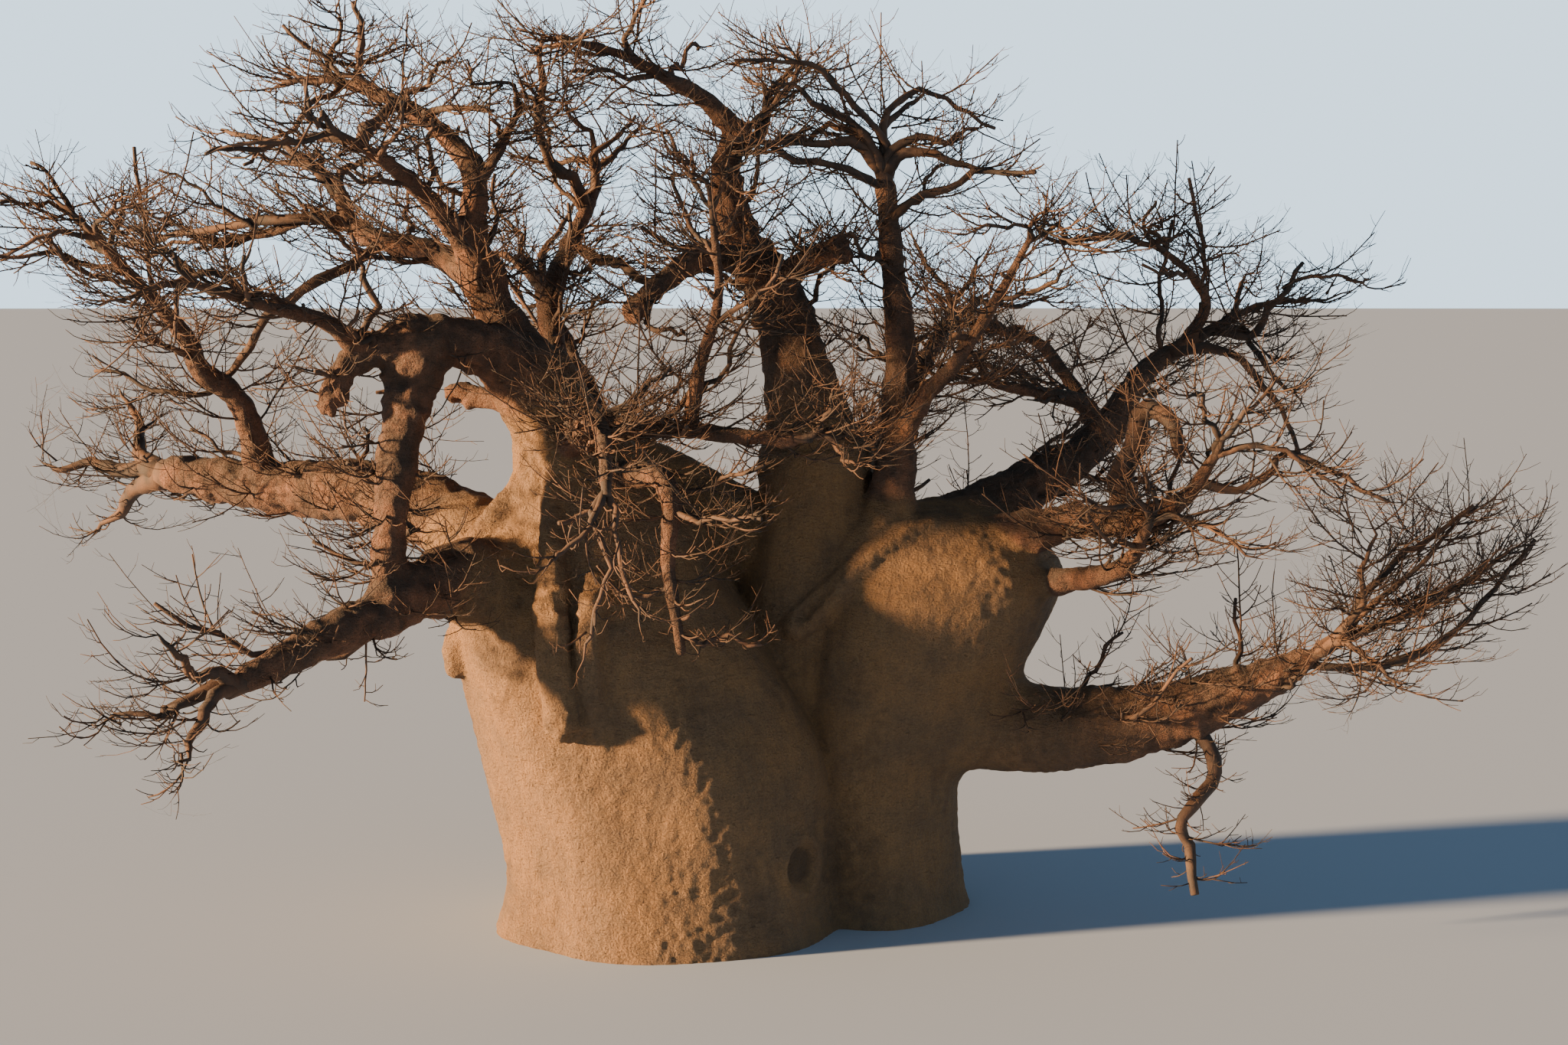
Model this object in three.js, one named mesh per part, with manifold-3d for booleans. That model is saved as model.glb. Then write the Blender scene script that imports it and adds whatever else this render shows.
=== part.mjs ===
// A bare baobab: a swollen trunk of boles grown together, crooked boughs that leave it low and
// high, and a mass of twigs on the tip of nearly every bough. Millimetres, +Z up, with the
// origin on the flat cut under the trunk. The tree's broad side faces -Y.

import * as THREE from 'three';
import Module from 'manifold-3d';

const wasm = await Module();
wasm.setup();

// Air kept between two pieces that meet, and between a twig and any limb it passes.
const CLEARANCE = 0.3;
const PASSING_GAP = 25;

// How fine the faceted wood is: the length of one step and the number of flat sides.
const BOLE_SIDES = 22;
const BOLE_STEP = 560;
const ROLL_SIDES = 9;
const BOUGH_STEP = 640;
const STOUT_BOUGH = 240;
const STOUT_SIDES = 9;
const MIDDLE_BOUGH = 100;
const MIDDLE_SIDES = 7;
const THIN_SIDES = 6;
const TWIG_SIDES = 3;

// The height over which the flutes of a bole lean round by one radian.
const FLUTE_TWIST = 900;

// A bough swells into a collar where it leaves the wood that carries it.
const COLLAR_SHARE = 0.28;
const COLLAR_LENGTH = 330;

// The stem of a mass, as a share of the bough's tip where that is a ratio.
const STEM_LENGTH = 260;
const STEM_SHARE = 0.92;
const STEM_TAPER = 0.8;

// The leaders spring from inside the stem, bend over towards their ends and waver on the way.
const LEADER_FOOT = 0.6;
const LEADER_SHARE = 0.74;
const LEADER_TIP = 14;
const LEADER_TAPER = 0.8;
const LEADER_STEPS = 3;
const LEADER_PUSH = 0.38;
const LEADER_PULL = 0.3;
const LEADER_SWAY = 0.1;

// The side twigs of a leader: where the first sits, how long a stretch they share, their
// spacing and size, and the angle in radians that they leave at.
const FIRST_TWIG = 0.22;
const TWIGGED_STRETCH = 0.7;
const SIDE_TWIG_SPACING = 780;
const SIDE_TWIG_LENGTH = 820;
const SIDE_TWIG_RADIUS = 17;
const LEAST_TWIG_ANGLE = 0.75;
const TWIG_ANGLE_SPREAD = 0.4;
const TWIG_CURL = 0.8;
const GOLDEN_ANGLE = 2.39996;

// Every second side twig forks once.
const FORK_LENGTH = 430;
const FORK_RADIUS = 9;
const FIRST_SEED = 101;

// How far beyond its foot and its ends the space of a mass reaches.
const TWIG_REACH = 700;
const SPACE_FULLNESS = 1.5;

const TRUNK_COLOUR = 0xb08a66;
const BOUGH_COLOUR = 0x8d6247;
const TWIG_COLOUR = 0x4d382c;

// The upright boles: each line is a level, with its height, the place of its middle and half
// its width and depth. Shallow flutes run up the skin.
const BOLES = [
  {
    name: 'great bole',
    flutes: 7,
    fluteDepth: 0.022,
    levels: [
      [-300, -720, -200, 2120, 2020],
      [0, -720, -200, 2030, 1940],
      [650, -720, -200, 1890, 1830],
      [1800, -880, -200, 1950, 1860],
      [2650, -1150, -200, 1900, 1800],
      [3450, -1480, -200, 1740, 1670],
      [4100, -1560, -200, 1420, 1390],
      [4600, -1520, -200, 1170, 1150],
      [5150, -1640, -210, 860, 860],
      [5650, -1880, -230, 620, 640],
      [6050, -2080, -280, 500, 560],
      [6350, -2230, -330, 390, 480],
      [6480, -2270, -340, 240, 300],
    ],
  },
  {
    name: 'shouldered bole',
    flutes: 5,
    fluteDepth: 0.035,
    levels: [
      [-300, 1450, 450, 1380, 1330],
      [0, 1450, 450, 1300, 1250],
      [600, 1450, 480, 1200, 1170],
      [1700, 1520, 480, 1140, 1120],
      [2600, 1850, 400, 1350, 1200],
      [3300, 2150, 350, 1520, 1250],
      [3900, 2360, 300, 1500, 1150],
      [4300, 2370, 300, 1260, 920],
      [4620, 2300, 300, 820, 600],
      [4740, 2240, 300, 380, 300],
    ],
  },
  {
    name: 'middle bole',
    flutes: 5,
    fluteDepth: 0.03,
    levels: [
      [-300, 600, 1000, 1500, 1300],
      [0, 600, 1000, 1450, 1250],
      [1200, 700, 900, 1250, 1100],
      [2300, 850, 600, 1100, 1000],
      [3400, 900, 450, 930, 900],
      [4200, 950, 400, 790, 780],
      [4800, 980, 350, 650, 650],
      [5300, 940, 330, 540, 540],
    ],
  },
];

// Rolls of wood that bridge the boles: the places along each, and its first and last radius.
const ROLLS = [
  {
    name: 'left shoulder',
    radii: [820, 470],
    route: [[-1500, -100, 3300], [-2350, -100, 3900], [-3050, 150, 4330]],
  },
  {
    name: 'low left shoulder',
    radii: [820, 410],
    route: [[-1600, -350, 3150], [-2400, -850, 3750], [-2950, -1280, 4030]],
  },
  {
    name: 'saddle behind the neck',
    radii: [420, 560],
    route: [[-1650, 250, 5350], [-700, 620, 4850], [400, 620, 4150]],
  },
  {
    name: 'ridge up to the mast',
    radii: [460, 320],
    route: [[650, 150, 3050], [1250, -80, 3950], [1810, -40, 4620]],
  },
  {
    name: 'roll of bark down the front',
    radii: [170, 230],
    route: [
      [-2050, -1280, 4150], [-2060, -1700, 3500], [-2020, -1840, 2850], [-1960, -1580, 2150],
    ],
  },
  {
    name: 'bridge from shoulder to neck',
    radii: [170, 150],
    route: [[-2850, -560, 4350], [-2620, -660, 4700], [-2250, -500, 5120]],
  },
  {
    name: 'broken stub behind the arch',
    radii: [150, 110],
    route: [[-2150, -100, 5750], [-2650, 150, 5950], [-3250, 380, 6050]],
  },
  {
    name: 'lump on the left edge',
    radii: [230, 150],
    route: [[-2700, -500, 3550], [-3020, -620, 3300], [-3080, -640, 3000]],
  },
];

// The boughs, each after the wood that carries it: the places along its middle line from root
// to tip, its radius at both, and how full it stays between them (1 is an even taper).
const BOUGHS = [
  {
    name: 'left_riser',
    radii: [330, 122],
    route: [
      [-2160, -220, 6120], [-2460, -400, 6620], [-2710, -600, 7200],
      [-2860, -800, 7800], [-2790, -900, 8250], [-2840, -900, 8600],
    ],
  },
  {
    name: 'left_crest',
    radii: [112, 55],
    route: [[-2840, -900, 8600], [-3200, -700, 8980], [-3800, -300, 9350], [-4500, 300, 9600]],
  },
  {
    name: 'left_tuft',
    radii: [72, 42],
    route: [[-2800, -900, 8330], [-2550, -1000, 8680], [-2350, -1120, 9020]],
  },
  {
    name: 'left_inner',
    radii: [145, 50],
    route: [[-2840, -750, 7650], [-3250, -1500, 8230], [-3550, -2200, 8550], [-3850, -2800, 8750]],
  },
  {
    name: 'left_back',
    radii: [190, 95],
    route: [
      [-2770, -640, 7380], [-3450, 550, 7660], [-4300, 1500, 7850],
      [-4700, 2000, 8050], [-4850, 2200, 8380],
    ],
  },
  {
    name: 'left_back_low',
    radii: [84, 50],
    route: [[-4480, 1720, 7930], [-5200, 2400, 8160], [-5850, 2900, 7980], [-6550, 3400, 7900]],
  },
  {
    name: 'low_lower',
    radii: [450, 140],
    route: [
      [-2150, -500, 3950], [-3150, -1500, 4080], [-3750, -2200, 3780],
      [-4350, -2800, 3550], [-4850, -3300, 3300],
    ],
  },
  {
    name: 'low_upper',
    radii: [500, 235],
    route: [
      [-2250, 0, 3950], [-3450, 500, 4600], [-4450, 1000, 4850],
      [-5600, 1600, 4850], [-6950, 2200, 4950],
    ],
  },
  {
    name: 'low_riser',
    radii: [185, 55],
    route: [
      [-5750, 1650, 4850], [-5850, 1400, 5550], [-6000, 1200, 6000], [-6300, 900, 6300],
      [-6430, 700, 6700], [-6750, 300, 7200], [-7050, -200, 7700],
    ],
  },
  {
    name: 'arch',
    radii: [370, 95],
    route: [
      [-2220, -450, 6180], [-2600, -900, 6520], [-3050, -1200, 6680],
      [-3600, -1500, 6650], [-4050, -1700, 6430], [-4300, -1800, 5950],
    ],
  },
  {
    name: 'arch_prop',
    radii: [280, 150],
    route: [[-3350, -1380, 6600], [-3500, -1480, 5950], [-3600, -1800, 5000], [-3640, -2100, 3900]],
  },
  {
    name: 'arch_spur',
    radii: [95, 48],
    route: [[-3880, -1610, 6560], [-4250, -2100, 6900], [-4700, -2700, 7050], [-5050, -3200, 7200]],
  },
  {
    name: 'neck_limb',
    radii: [190, 85],
    route: [
      [-2080, 0, 6050], [-2120, 550, 6550], [-2150, 900, 7200], [-1950, 1300, 7800],
      [-1750, 1600, 8300],
    ],
  },
  {
    name: 'front_bar',
    radii: [145, 60],
    route: [
      [-1650, -420, 5650], [-1100, -1150, 5740], [-500, -1750, 5750], [100, -2250, 5700],
      [650, -2600, 5700],
    ],
  },
  {
    name: 'bar_spire',
    radii: [82, 42],
    route: [[-420, -1820, 5750], [-300, -1900, 6400], [-100, -2000, 7150], [-150, -2200, 7900]],
  },
  {
    name: 'front_droop',
    radii: [150, 62],
    route: [
      [-1850, -500, 5350], [-1620, -1400, 5720], [-1400, -2300, 5880], [-1220, -3200, 5740],
      [-1150, -3900, 5350],
    ],
  },
  {
    name: 'hook_stub',
    radii: [165, 48],
    route: [
      [-1350, -620, 5100], [-980, -1250, 5220], [-720, -1720, 5200],
      [-600, -1930, 4880], [-640, -2080, 4350], [-500, -2200, 3420],
    ],
  },
  {
    name: 'centre_stem',
    radii: [500, 112],
    route: [
      [940, 330, 5290], [810, 400, 6050], [600, 500, 6850], [400, 550, 7350],
      [50, 600, 7900], [-100, 500, 8600], [50, 400, 9050],
    ],
  },
  {
    name: 'centre_crest',
    radii: [108, 42],
    route: [
      [50, 400, 9050], [-330, 200, 9400], [-750, -100, 9600], [-1150, -450, 9800],
      [-1600, -800, 9900],
    ],
  },
  {
    name: 'centre_mast',
    radii: [78, 40],
    route: [[-40, 470, 8780], [330, 950, 9100], [400, 1600, 9550], [650, 2200, 9900]],
  },
  {
    name: 'stump_left',
    radii: [150, 108],
    route: [[330, 570, 7480], [-250, -300, 7620], [-750, -800, 7320], [-1100, -1200, 6950]],
  },
  {
    name: 'stump_right',
    radii: [150, 125],
    route: [[420, 540, 7250], [850, -100, 7550], [1250, -600, 7700]],
  },
  {
    name: 'right_mast',
    radii: [265, 115],
    fullness: 1.2,
    route: [
      [1800, 20, 4450], [1880, -100, 5650], [1900, 0, 6750], [1800, 200, 7750],
      [1750, 300, 8400],
    ],
  },
  {
    name: 'mast_side',
    radii: [125, 42],
    route: [
      [1880, -90, 5450], [2150, -650, 6050], [2450, -1100, 6420], [2850, -1500, 7100],
      [3100, -1800, 7600],
    ],
  },
  {
    name: 'right_limb',
    radii: [400, 195],
    route: [[2350, 480, 4300], [3300, 900, 4820], [4100, 1300, 5250], [4600, 1600, 5650]],
  },
  {
    name: 'right_head',
    radii: [170, 90],
    route: [[4600, 1600, 5650], [4850, 1700, 6100], [5200, 1900, 6400], [5650, 2000, 6650]],
  },
  {
    name: 'right_hook',
    radii: [78, 42],
    route: [[5480, 1960, 6560], [5720, 1750, 7050], [5470, 1450, 7430], [5100, 1200, 7700]],
  },
  {
    name: 'right_back',
    radii: [115, 48],
    route: [
      [4420, 1480, 5480], [4150, 1150, 5900], [3500, 800, 6050], [3000, 500, 6180],
      [2800, 300, 6500],
    ],
  },
  {
    name: 'right_rise',
    radii: [112, 55],
    route: [
      [4420, 1520, 5480], [4200, 2200, 6000], [4050, 2600, 6280], [3800, 3100, 6600],
      [3250, 3600, 6750],
    ],
  },
  {
    name: 'right_sweep',
    radii: [290, 60],
    route: [
      [2850, 120, 4250], [3800, -600, 4650], [4350, -1200, 4700], [4850, -1800, 5000],
      [5050, -2200, 5400],
    ],
  },
  {
    name: 'shoulder_stub',
    radii: [165, 60],
    route: [[3350, -150, 3850], [4150, -900, 4080], [4350, -1400, 4280], [4450, -1900, 4700]],
  },
  {
    name: 'ground_limb',
    radii: [620, 85],
    fullness: 0.62,
    route: [
      [2100, 300, 2500], [3200, 100, 2200], [4150, -200, 2230],
      [5100, -500, 2480], [5850, -900, 2850], [6400, -1200, 3200],
    ],
  },
  {
    name: 'rear_left',
    radii: [330, 105],
    route: [[-1200, 500, 4100], [-1350, 1700, 4800], [-1900, 2800, 5800], [-2600, 4200, 7200]],
  },
  {
    name: 'rear_right',
    radii: [300, 100],
    route: [[1100, 700, 4000], [1350, 1700, 4650], [1900, 3000, 5500], [2700, 4600, 6700]],
  },
];

// The masses of twigs, each named after the bough whose tip carries it, with the places that
// the leaders of the mass grow out to.
const MASSES = [
  { bough: 'left_crest', ends: [[-4300, 0, 10550], [-5500, 800, 9550], [-3700, 1300, 10100]] },
  { bough: 'left_tuft', ends: [[-2050, -1300, 9400], [-3000, -1800, 9600], [-1750, -1900, 8900]] },
  { bough: 'left_inner', ends: [[-5200, -3600, 8500], [-4100, -4200, 8900], [-4500, -2900, 9500]] },
  { bough: 'left_back', ends: [[-6400, 3000, 9000], [-5700, 4200, 8950], [-4300, 3600, 9050]] },
  { bough: 'left_back_low', ends: [[-8700, 4200, 7700], [-7700, 4700, 8300], [-7900, 2900, 8200]] },
  { bough: 'low_riser', ends: [[-8450, -900, 7500], [-7850, -300, 8450], [-6300, -1200, 8250]] },
  { bough: 'low_upper', ends: [[-9000, 3000, 5150], [-8500, 3500, 4000], [-8100, 3600, 6000]] },
  { bough: 'low_lower', ends: [[-6300, -3900, 2900], [-5500, -4400, 4000], [-5300, -4600, 2600]] },
  { bough: 'arch_spur', ends: [[-6300, -3900, 7100], [-5200, -4500, 6600], [-5900, -3500, 7900]] },
  { bough: 'neck_limb', ends: [[-2300, 1500, 9800], [-1100, 2400, 9350], [-2900, 2800, 8900]] },
  { bough: 'front_bar', ends: [[1500, -3400, 5450], [1100, -3300, 6300], [1600, -2600, 6100]] },
  { bough: 'bar_spire', ends: [[-700, -2800, 8800], [250, -2900, 8600]] },
  { bough: 'front_droop', ends: [[-1400, -4400, 3400], [-750, -4900, 4000], [-1800, -4800, 4450]] },
  { bough: 'centre_crest', ends: [[-2150, -1300, 9850], [-1350, -1900, 9850], [-2250, -200, 9800]] },
  { bough: 'centre_mast', ends: [[900, 2900, 10200], [-400, 2900, 9950], [1500, 2500, 9650]] },
  {
    bough: 'right_mast',
    ends: [
      [-150, -500, 8850], [250, 150, 9650], [2250, 1200, 9750], [2950, 100, 9100],
      [3450, -700, 8450],
    ],
  },
  { bough: 'mast_side', ends: [[2250, -2500, 7800], [3300, -2400, 8050], [4000, -2500, 7500]] },
  { bough: 'right_hook', ends: [[3700, 800, 7900], [5050, 900, 8150], [6000, 400, 7550]] },
  { bough: 'right_head', ends: [[7600, 1700, 7300], [6900, 1200, 5700], [6600, 2900, 7500]] },
  { bough: 'right_rise', ends: [[2300, 4200, 7500], [3500, 4500, 7700], [2200, 3500, 6700]] },
  { bough: 'right_sweep', ends: [[6700, -2800, 5100], [5700, -3000, 6500], [4600, -3100, 6300]] },
  { bough: 'shoulder_stub', ends: [[5600, -2900, 4500], [4200, -3200, 5500], [3500, -3100, 5000]] },
  {
    bough: 'ground_limb',
    ends: [[8000, -1700, 5000], [9200, -900, 4500], [6600, -2300, 5000], [7100, -2500, 3000]],
  },
  { bough: 'rear_left', ends: [[-3400, 5800, 8500], [-2000, 5600, 8900], [-4300, 5300, 7700]] },
  { bough: 'rear_right', ends: [[3500, 6200, 7900], [2200, 6000, 8200], [4600, 5700, 7200]] },
];

// A run of numbers between 0 and 1 that is the same for the same seed.
function seededNumbers(seed) {
  let state = seed >>> 0;
  return () => {
    state = (state + 0x6d2b79f5) >>> 0;
    let mixed = Math.imul(state ^ (state >>> 15), state | 1);
    mixed ^= mixed + Math.imul(mixed ^ (mixed >>> 7), mixed | 61);
    return ((mixed ^ (mixed >>> 14)) >>> 0) / 4294967296;
  };
}

// A closed solid from rings of points: neighbouring rings are joined by flat faces, and the
// first and the last ring are filled. A ring of one point makes a pointed end.
function solidFromRings(rings) {
  const corners = [];
  const faces = [];
  const starts = rings.map((ring) => {
    const start = corners.length;
    corners.push(...ring);
    return start;
  });
  for (let index = 0; index + 1 < rings.length; index += 1) {
    const sides = rings[index].length;
    for (let side = 0; side < sides; side += 1) {
      const next = (side + 1) % sides;
      const [low, lowNext] = [starts[index] + side, starts[index] + next];
      if (rings[index + 1].length === 1) {
        faces.push(low, lowNext, starts[index + 1]);
      } else {
        const [high, highNext] = [starts[index + 1] + side, starts[index + 1] + next];
        faces.push(low, lowNext, highNext, low, highNext, high);
      }
    }
  }
  const last = rings.length - 1;
  for (let side = 1; side + 1 < rings[0].length; side += 1) {
    faces.push(starts[0], starts[0] + side + 1, starts[0] + side);
  }
  for (let side = 1; side + 1 < rings[last].length; side += 1) {
    faces.push(starts[last], starts[last] + side, starts[last] + side + 1);
  }
  const vertProperties = new Float32Array(corners.flatMap((corner) => corner.toArray()));
  const mesh = new wasm.Mesh({ numProp: 3, vertProperties, triVerts: new Uint32Array(faces) });
  return new wasm.Manifold(mesh);
}

// Points along a smooth curve through the given places, one step or more to each stretch.
function smoothLine(places, step) {
  const bends = places.map((place) => new THREE.Vector3(...place));
  const curve = new THREE.CatmullRomCurve3(bends, false, 'catmullrom', 0.5);
  const line = [bends[0].clone()];
  for (let stretch = 0; stretch + 1 < bends.length; stretch += 1) {
    const steps = Math.max(1, Math.round(bends[stretch].distanceTo(bends[stretch + 1]) / step));
    for (let index = 1; index <= steps; index += 1) {
      line.push(curve.getPoint((stretch + index / steps) / (bends.length - 1)));
    }
  }
  return line;
}

function directionAt(line, index) {
  const before = line[Math.max(0, index - 1)];
  const after = line[Math.min(line.length - 1, index + 1)];
  return after.clone().sub(before).normalize();
}

// How far along the line each of its points lies.
function distancesAlong(line) {
  const distances = [0];
  for (let index = 1; index < line.length; index += 1) {
    distances.push(distances[index - 1] + line[index].distanceTo(line[index - 1]));
  }
  return distances;
}

// Flat-sided rings square to the line, turned as little as possible from one to the next.
function ringsAlong(line, radii, sides) {
  const first = directionAt(line, 0);
  const steep = Math.abs(first.z) > 0.8;
  const across = new THREE.Vector3(steep ? 1 : 0, 0, steep ? 0 : 1);
  return line.map((centre, index) => {
    if (radii[index] === 0) {
      return [centre];
    }
    const along = directionAt(line, index);
    across.addScaledVector(along, -across.dot(along)).normalize();
    const beside = new THREE.Vector3().crossVectors(along, across);
    return Array.from({ length: sides }, (_, side) => {
      const turn = (2 * Math.PI * side) / sides;
      return centre.clone()
        .addScaledVector(across, radii[index] * Math.cos(turn))
        .addScaledVector(beside, radii[index] * Math.sin(turn));
    });
  });
}

// The extra radius that moves every flat side of a limb outward by the given distance.
function grownBy(distance, sides) {
  return distance / Math.cos(Math.PI / sides);
}

// An upright bole: level rings through the given levels, with shallow flutes. Where its side
// leans, the ring grows more, so that the side itself moves out by the full distance.
function makeBole(bole, grow) {
  const middles = bole.levels.map(([z, x, y]) => [x, y, z]);
  const sizes = bole.levels.map(([, , , halfWidth, halfDepth]) => [halfWidth, halfDepth, 0]);
  const centres = [];
  const spans = [];
  const middleCurve = new THREE.CatmullRomCurve3(
    middles.map((place) => new THREE.Vector3(...place)), false, 'catmullrom', 0.5);
  const sizeCurve = new THREE.CatmullRomCurve3(
    sizes.map((place) => new THREE.Vector3(...place)), false, 'catmullrom', 0.5);
  const stretches = middles.length - 1;
  for (let stretch = 0; stretch < stretches; stretch += 1) {
    const height = middles[stretch + 1][2] - middles[stretch][2];
    const steps = Math.max(1, Math.round(height / BOLE_STEP));
    for (let index = 0; index < steps; index += 1) {
      const share = (stretch + index / steps) / stretches;
      centres.push(middleCurve.getPoint(share));
      spans.push(sizeCurve.getPoint(share));
    }
  }
  centres.push(middleCurve.getPoint(1));
  spans.push(sizeCurve.getPoint(1));
  const last = centres.length - 1;
  const rings = centres.map((centre, index) => {
    const above = Math.min(index + 1, last);
    const below = Math.max(index - 1, 0);
    const rise = centres[above].z - centres[below].z;
    const lean = (spans[below].distanceTo(spans[above])
      + Math.hypot(centres[above].x - centres[below].x, centres[above].y - centres[below].y)) / rise;
    const outward = grownBy(grow, BOLE_SIDES) * Math.hypot(1, lean);
    const height = centre.z + (index === last ? grow : 0);
    return Array.from({ length: BOLE_SIDES }, (_, side) => {
      const turn = (2 * Math.PI * side) / BOLE_SIDES;
      const swell = 1 + bole.fluteDepth * Math.cos(bole.flutes * turn + centre.z / FLUTE_TWIST);
      return new THREE.Vector3(
        centre.x + (spans[index].x * swell + outward) * Math.cos(turn),
        centre.y + (spans[index].y * swell + outward) * Math.sin(turn),
        height);
    });
  });
  return solidFromRings(rings);
}

// The same line, made longer at both ends.
function lengthened(line, distance) {
  const last = line.length - 1;
  const longer = line.map((point) => point.clone());
  longer[0].addScaledVector(directionAt(line, 0), -distance);
  longer[last].addScaledVector(directionAt(line, last), distance);
  return longer;
}

function makeRoll(roll, grow) {
  const line = lengthened(smoothLine(roll.route, BOUGH_STEP), grow);
  const distances = distancesAlong(line);
  const length = distances[distances.length - 1];
  const radii = distances.map((distance) => (
    THREE.MathUtils.lerp(roll.radii[0], roll.radii[1], distance / length)
      + grownBy(grow, ROLL_SIDES)
  ));
  return solidFromRings(ringsAlong(line, radii, ROLL_SIDES));
}

// The whole trunk, cut off flat at ground level.
function makeTrunk(grow) {
  const wood = [
    ...BOLES.map((bole) => makeBole(bole, grow)),
    ...ROLLS.map((roll) => makeRoll(roll, grow)),
  ];
  return wasm.Manifold.union(wood).trimByPlane([0, 0, 1], 0);
}

// The smooth middle line of a bough, its radius along it and its number of sides.
function layOutBough(bough) {
  const line = smoothLine(bough.route, BOUGH_STEP);
  const distances = distancesAlong(line);
  const length = distances[distances.length - 1];
  const [rootRadius, tipRadius] = bough.radii;
  const radii = distances.map((distance) => {
    const left = (1 - distance / length) ** (bough.fullness ?? 1);
    const collar = COLLAR_SHARE * rootRadius * Math.exp(-distance / COLLAR_LENGTH);
    return tipRadius + (rootRadius - tipRadius) * left + collar;
  });
  let sides = THIN_SIDES;
  if (rootRadius > STOUT_BOUGH) {
    sides = STOUT_SIDES;
  } else if (rootRadius > MIDDLE_BOUGH) {
    sides = MIDDLE_SIDES;
  }
  return { name: bough.name, line, radii, sides, tipRadius };
}

function makeBough(layout, grow) {
  const radii = layout.radii.map((radius) => radius + grownBy(grow, layout.sides));
  return solidFromRings(ringsAlong(lengthened(layout.line, grow), radii, layout.sides));
}

// The largest of the pieces that a cut leaves.
function largestPiece(solid) {
  return solid.decompose().reduce((best, piece) => (
    piece.volume() > best.volume() ? piece : best
  ));
}

// The least gap between two tapering stretches of wood, below zero where they overlap.
function gapBetween(one, other) {
  const along = one.to.clone().sub(one.from);
  const otherAlong = other.to.clone().sub(other.from);
  const apart = one.from.clone().sub(other.from);
  const a = along.dot(along);
  const b = along.dot(otherAlong);
  const c = otherAlong.dot(otherAlong);
  const d = along.dot(apart);
  const e = otherAlong.dot(apart);
  const clamp = (value) => Math.min(1, Math.max(0, value));
  const spread = a * c - b * b;
  let share = spread > 1e-6 * a * c ? clamp((b * e - c * d) / spread) : 0;
  const otherShare = clamp((b * share + e) / c);
  share = clamp((b * otherShare - d) / a);
  const near = one.from.clone().addScaledVector(along, share);
  const otherNear = other.from.clone().addScaledVector(otherAlong, otherShare);
  const radius = THREE.MathUtils.lerp(one.fromRadius, one.toRadius, share);
  const otherRadius = THREE.MathUtils.lerp(other.fromRadius, other.toRadius, otherShare);
  return near.distanceTo(otherNear) - radius - otherRadius;
}

// A line of wood as its straight stretches, for the test of what it would touch.
function stretchesOf(line, radii, owner) {
  return line.slice(1).map((point, index) => ({
    from: line[index], to: point, fromRadius: radii[index], toRadius: radii[index + 1], owner,
  }));
}

function touchesAny(line, radii, wood, owner) {
  return stretchesOf(line, radii, owner).some((stretch) => (
    wood.some((other) => other.owner !== owner && gapBetween(stretch, other) < PASSING_GAP)
  ));
}

// The space that a mass keeps to: an egg round its foot and its ends.
function spaceAround(foot, ends) {
  const box = new THREE.Box3().setFromPoints([foot, ...ends]);
  const centre = box.getCenter(new THREE.Vector3());
  const half = box.getSize(new THREE.Vector3()).multiplyScalar(0.5).addScalar(TWIG_REACH);
  return (point) => point.clone().sub(centre).divide(half).lengthSq() < SPACE_FULLNESS;
}

// One twig that leaves its carrier at an angle and curls upward, as points from root to tip.
function curlingTwig(root, along, angle, turn, length, random) {
  const helper = Math.abs(along.z) > 0.8 ? new THREE.Vector3(1, 0, 0) : new THREE.Vector3(0, 0, 1);
  const across = new THREE.Vector3().crossVectors(along, helper).normalize();
  const beside = new THREE.Vector3().crossVectors(along, across);
  const heading = along.clone().multiplyScalar(Math.cos(angle))
    .addScaledVector(across, Math.sin(angle) * Math.cos(turn))
    .addScaledVector(beside, Math.sin(angle) * Math.sin(turn));
  const middle = root.clone().addScaledVector(heading, length * 0.5);
  const curl = new THREE.Vector3(random() - 0.5, random() - 0.5, 0.2 + 0.6 * random());
  heading.addScaledVector(curl, TWIG_CURL).normalize();
  return [root, middle, middle.clone().addScaledVector(heading, length * 0.5)];
}

// A leader, as points from where it leaves the stem to its end.
function leaderLine(root, heading, end, random) {
  const span = root.distanceTo(end);
  const push = root.clone().addScaledVector(heading, span * LEADER_PUSH);
  const pull = end.clone().addScaledVector(end.clone().sub(root), -LEADER_PULL);
  const curve = new THREE.CubicBezierCurve3(root, push, pull, end);
  return Array.from({ length: LEADER_STEPS + 1 }, (_, index) => {
    const share = index / LEADER_STEPS;
    const sway = LEADER_SWAY * span * Math.sin(Math.PI * share);
    const waver = new THREE.Vector3(random() - 0.5, random() - 0.5, random() - 0.5);
    return curve.getPoint(share).addScaledVector(waver, sway);
  });
}

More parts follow.
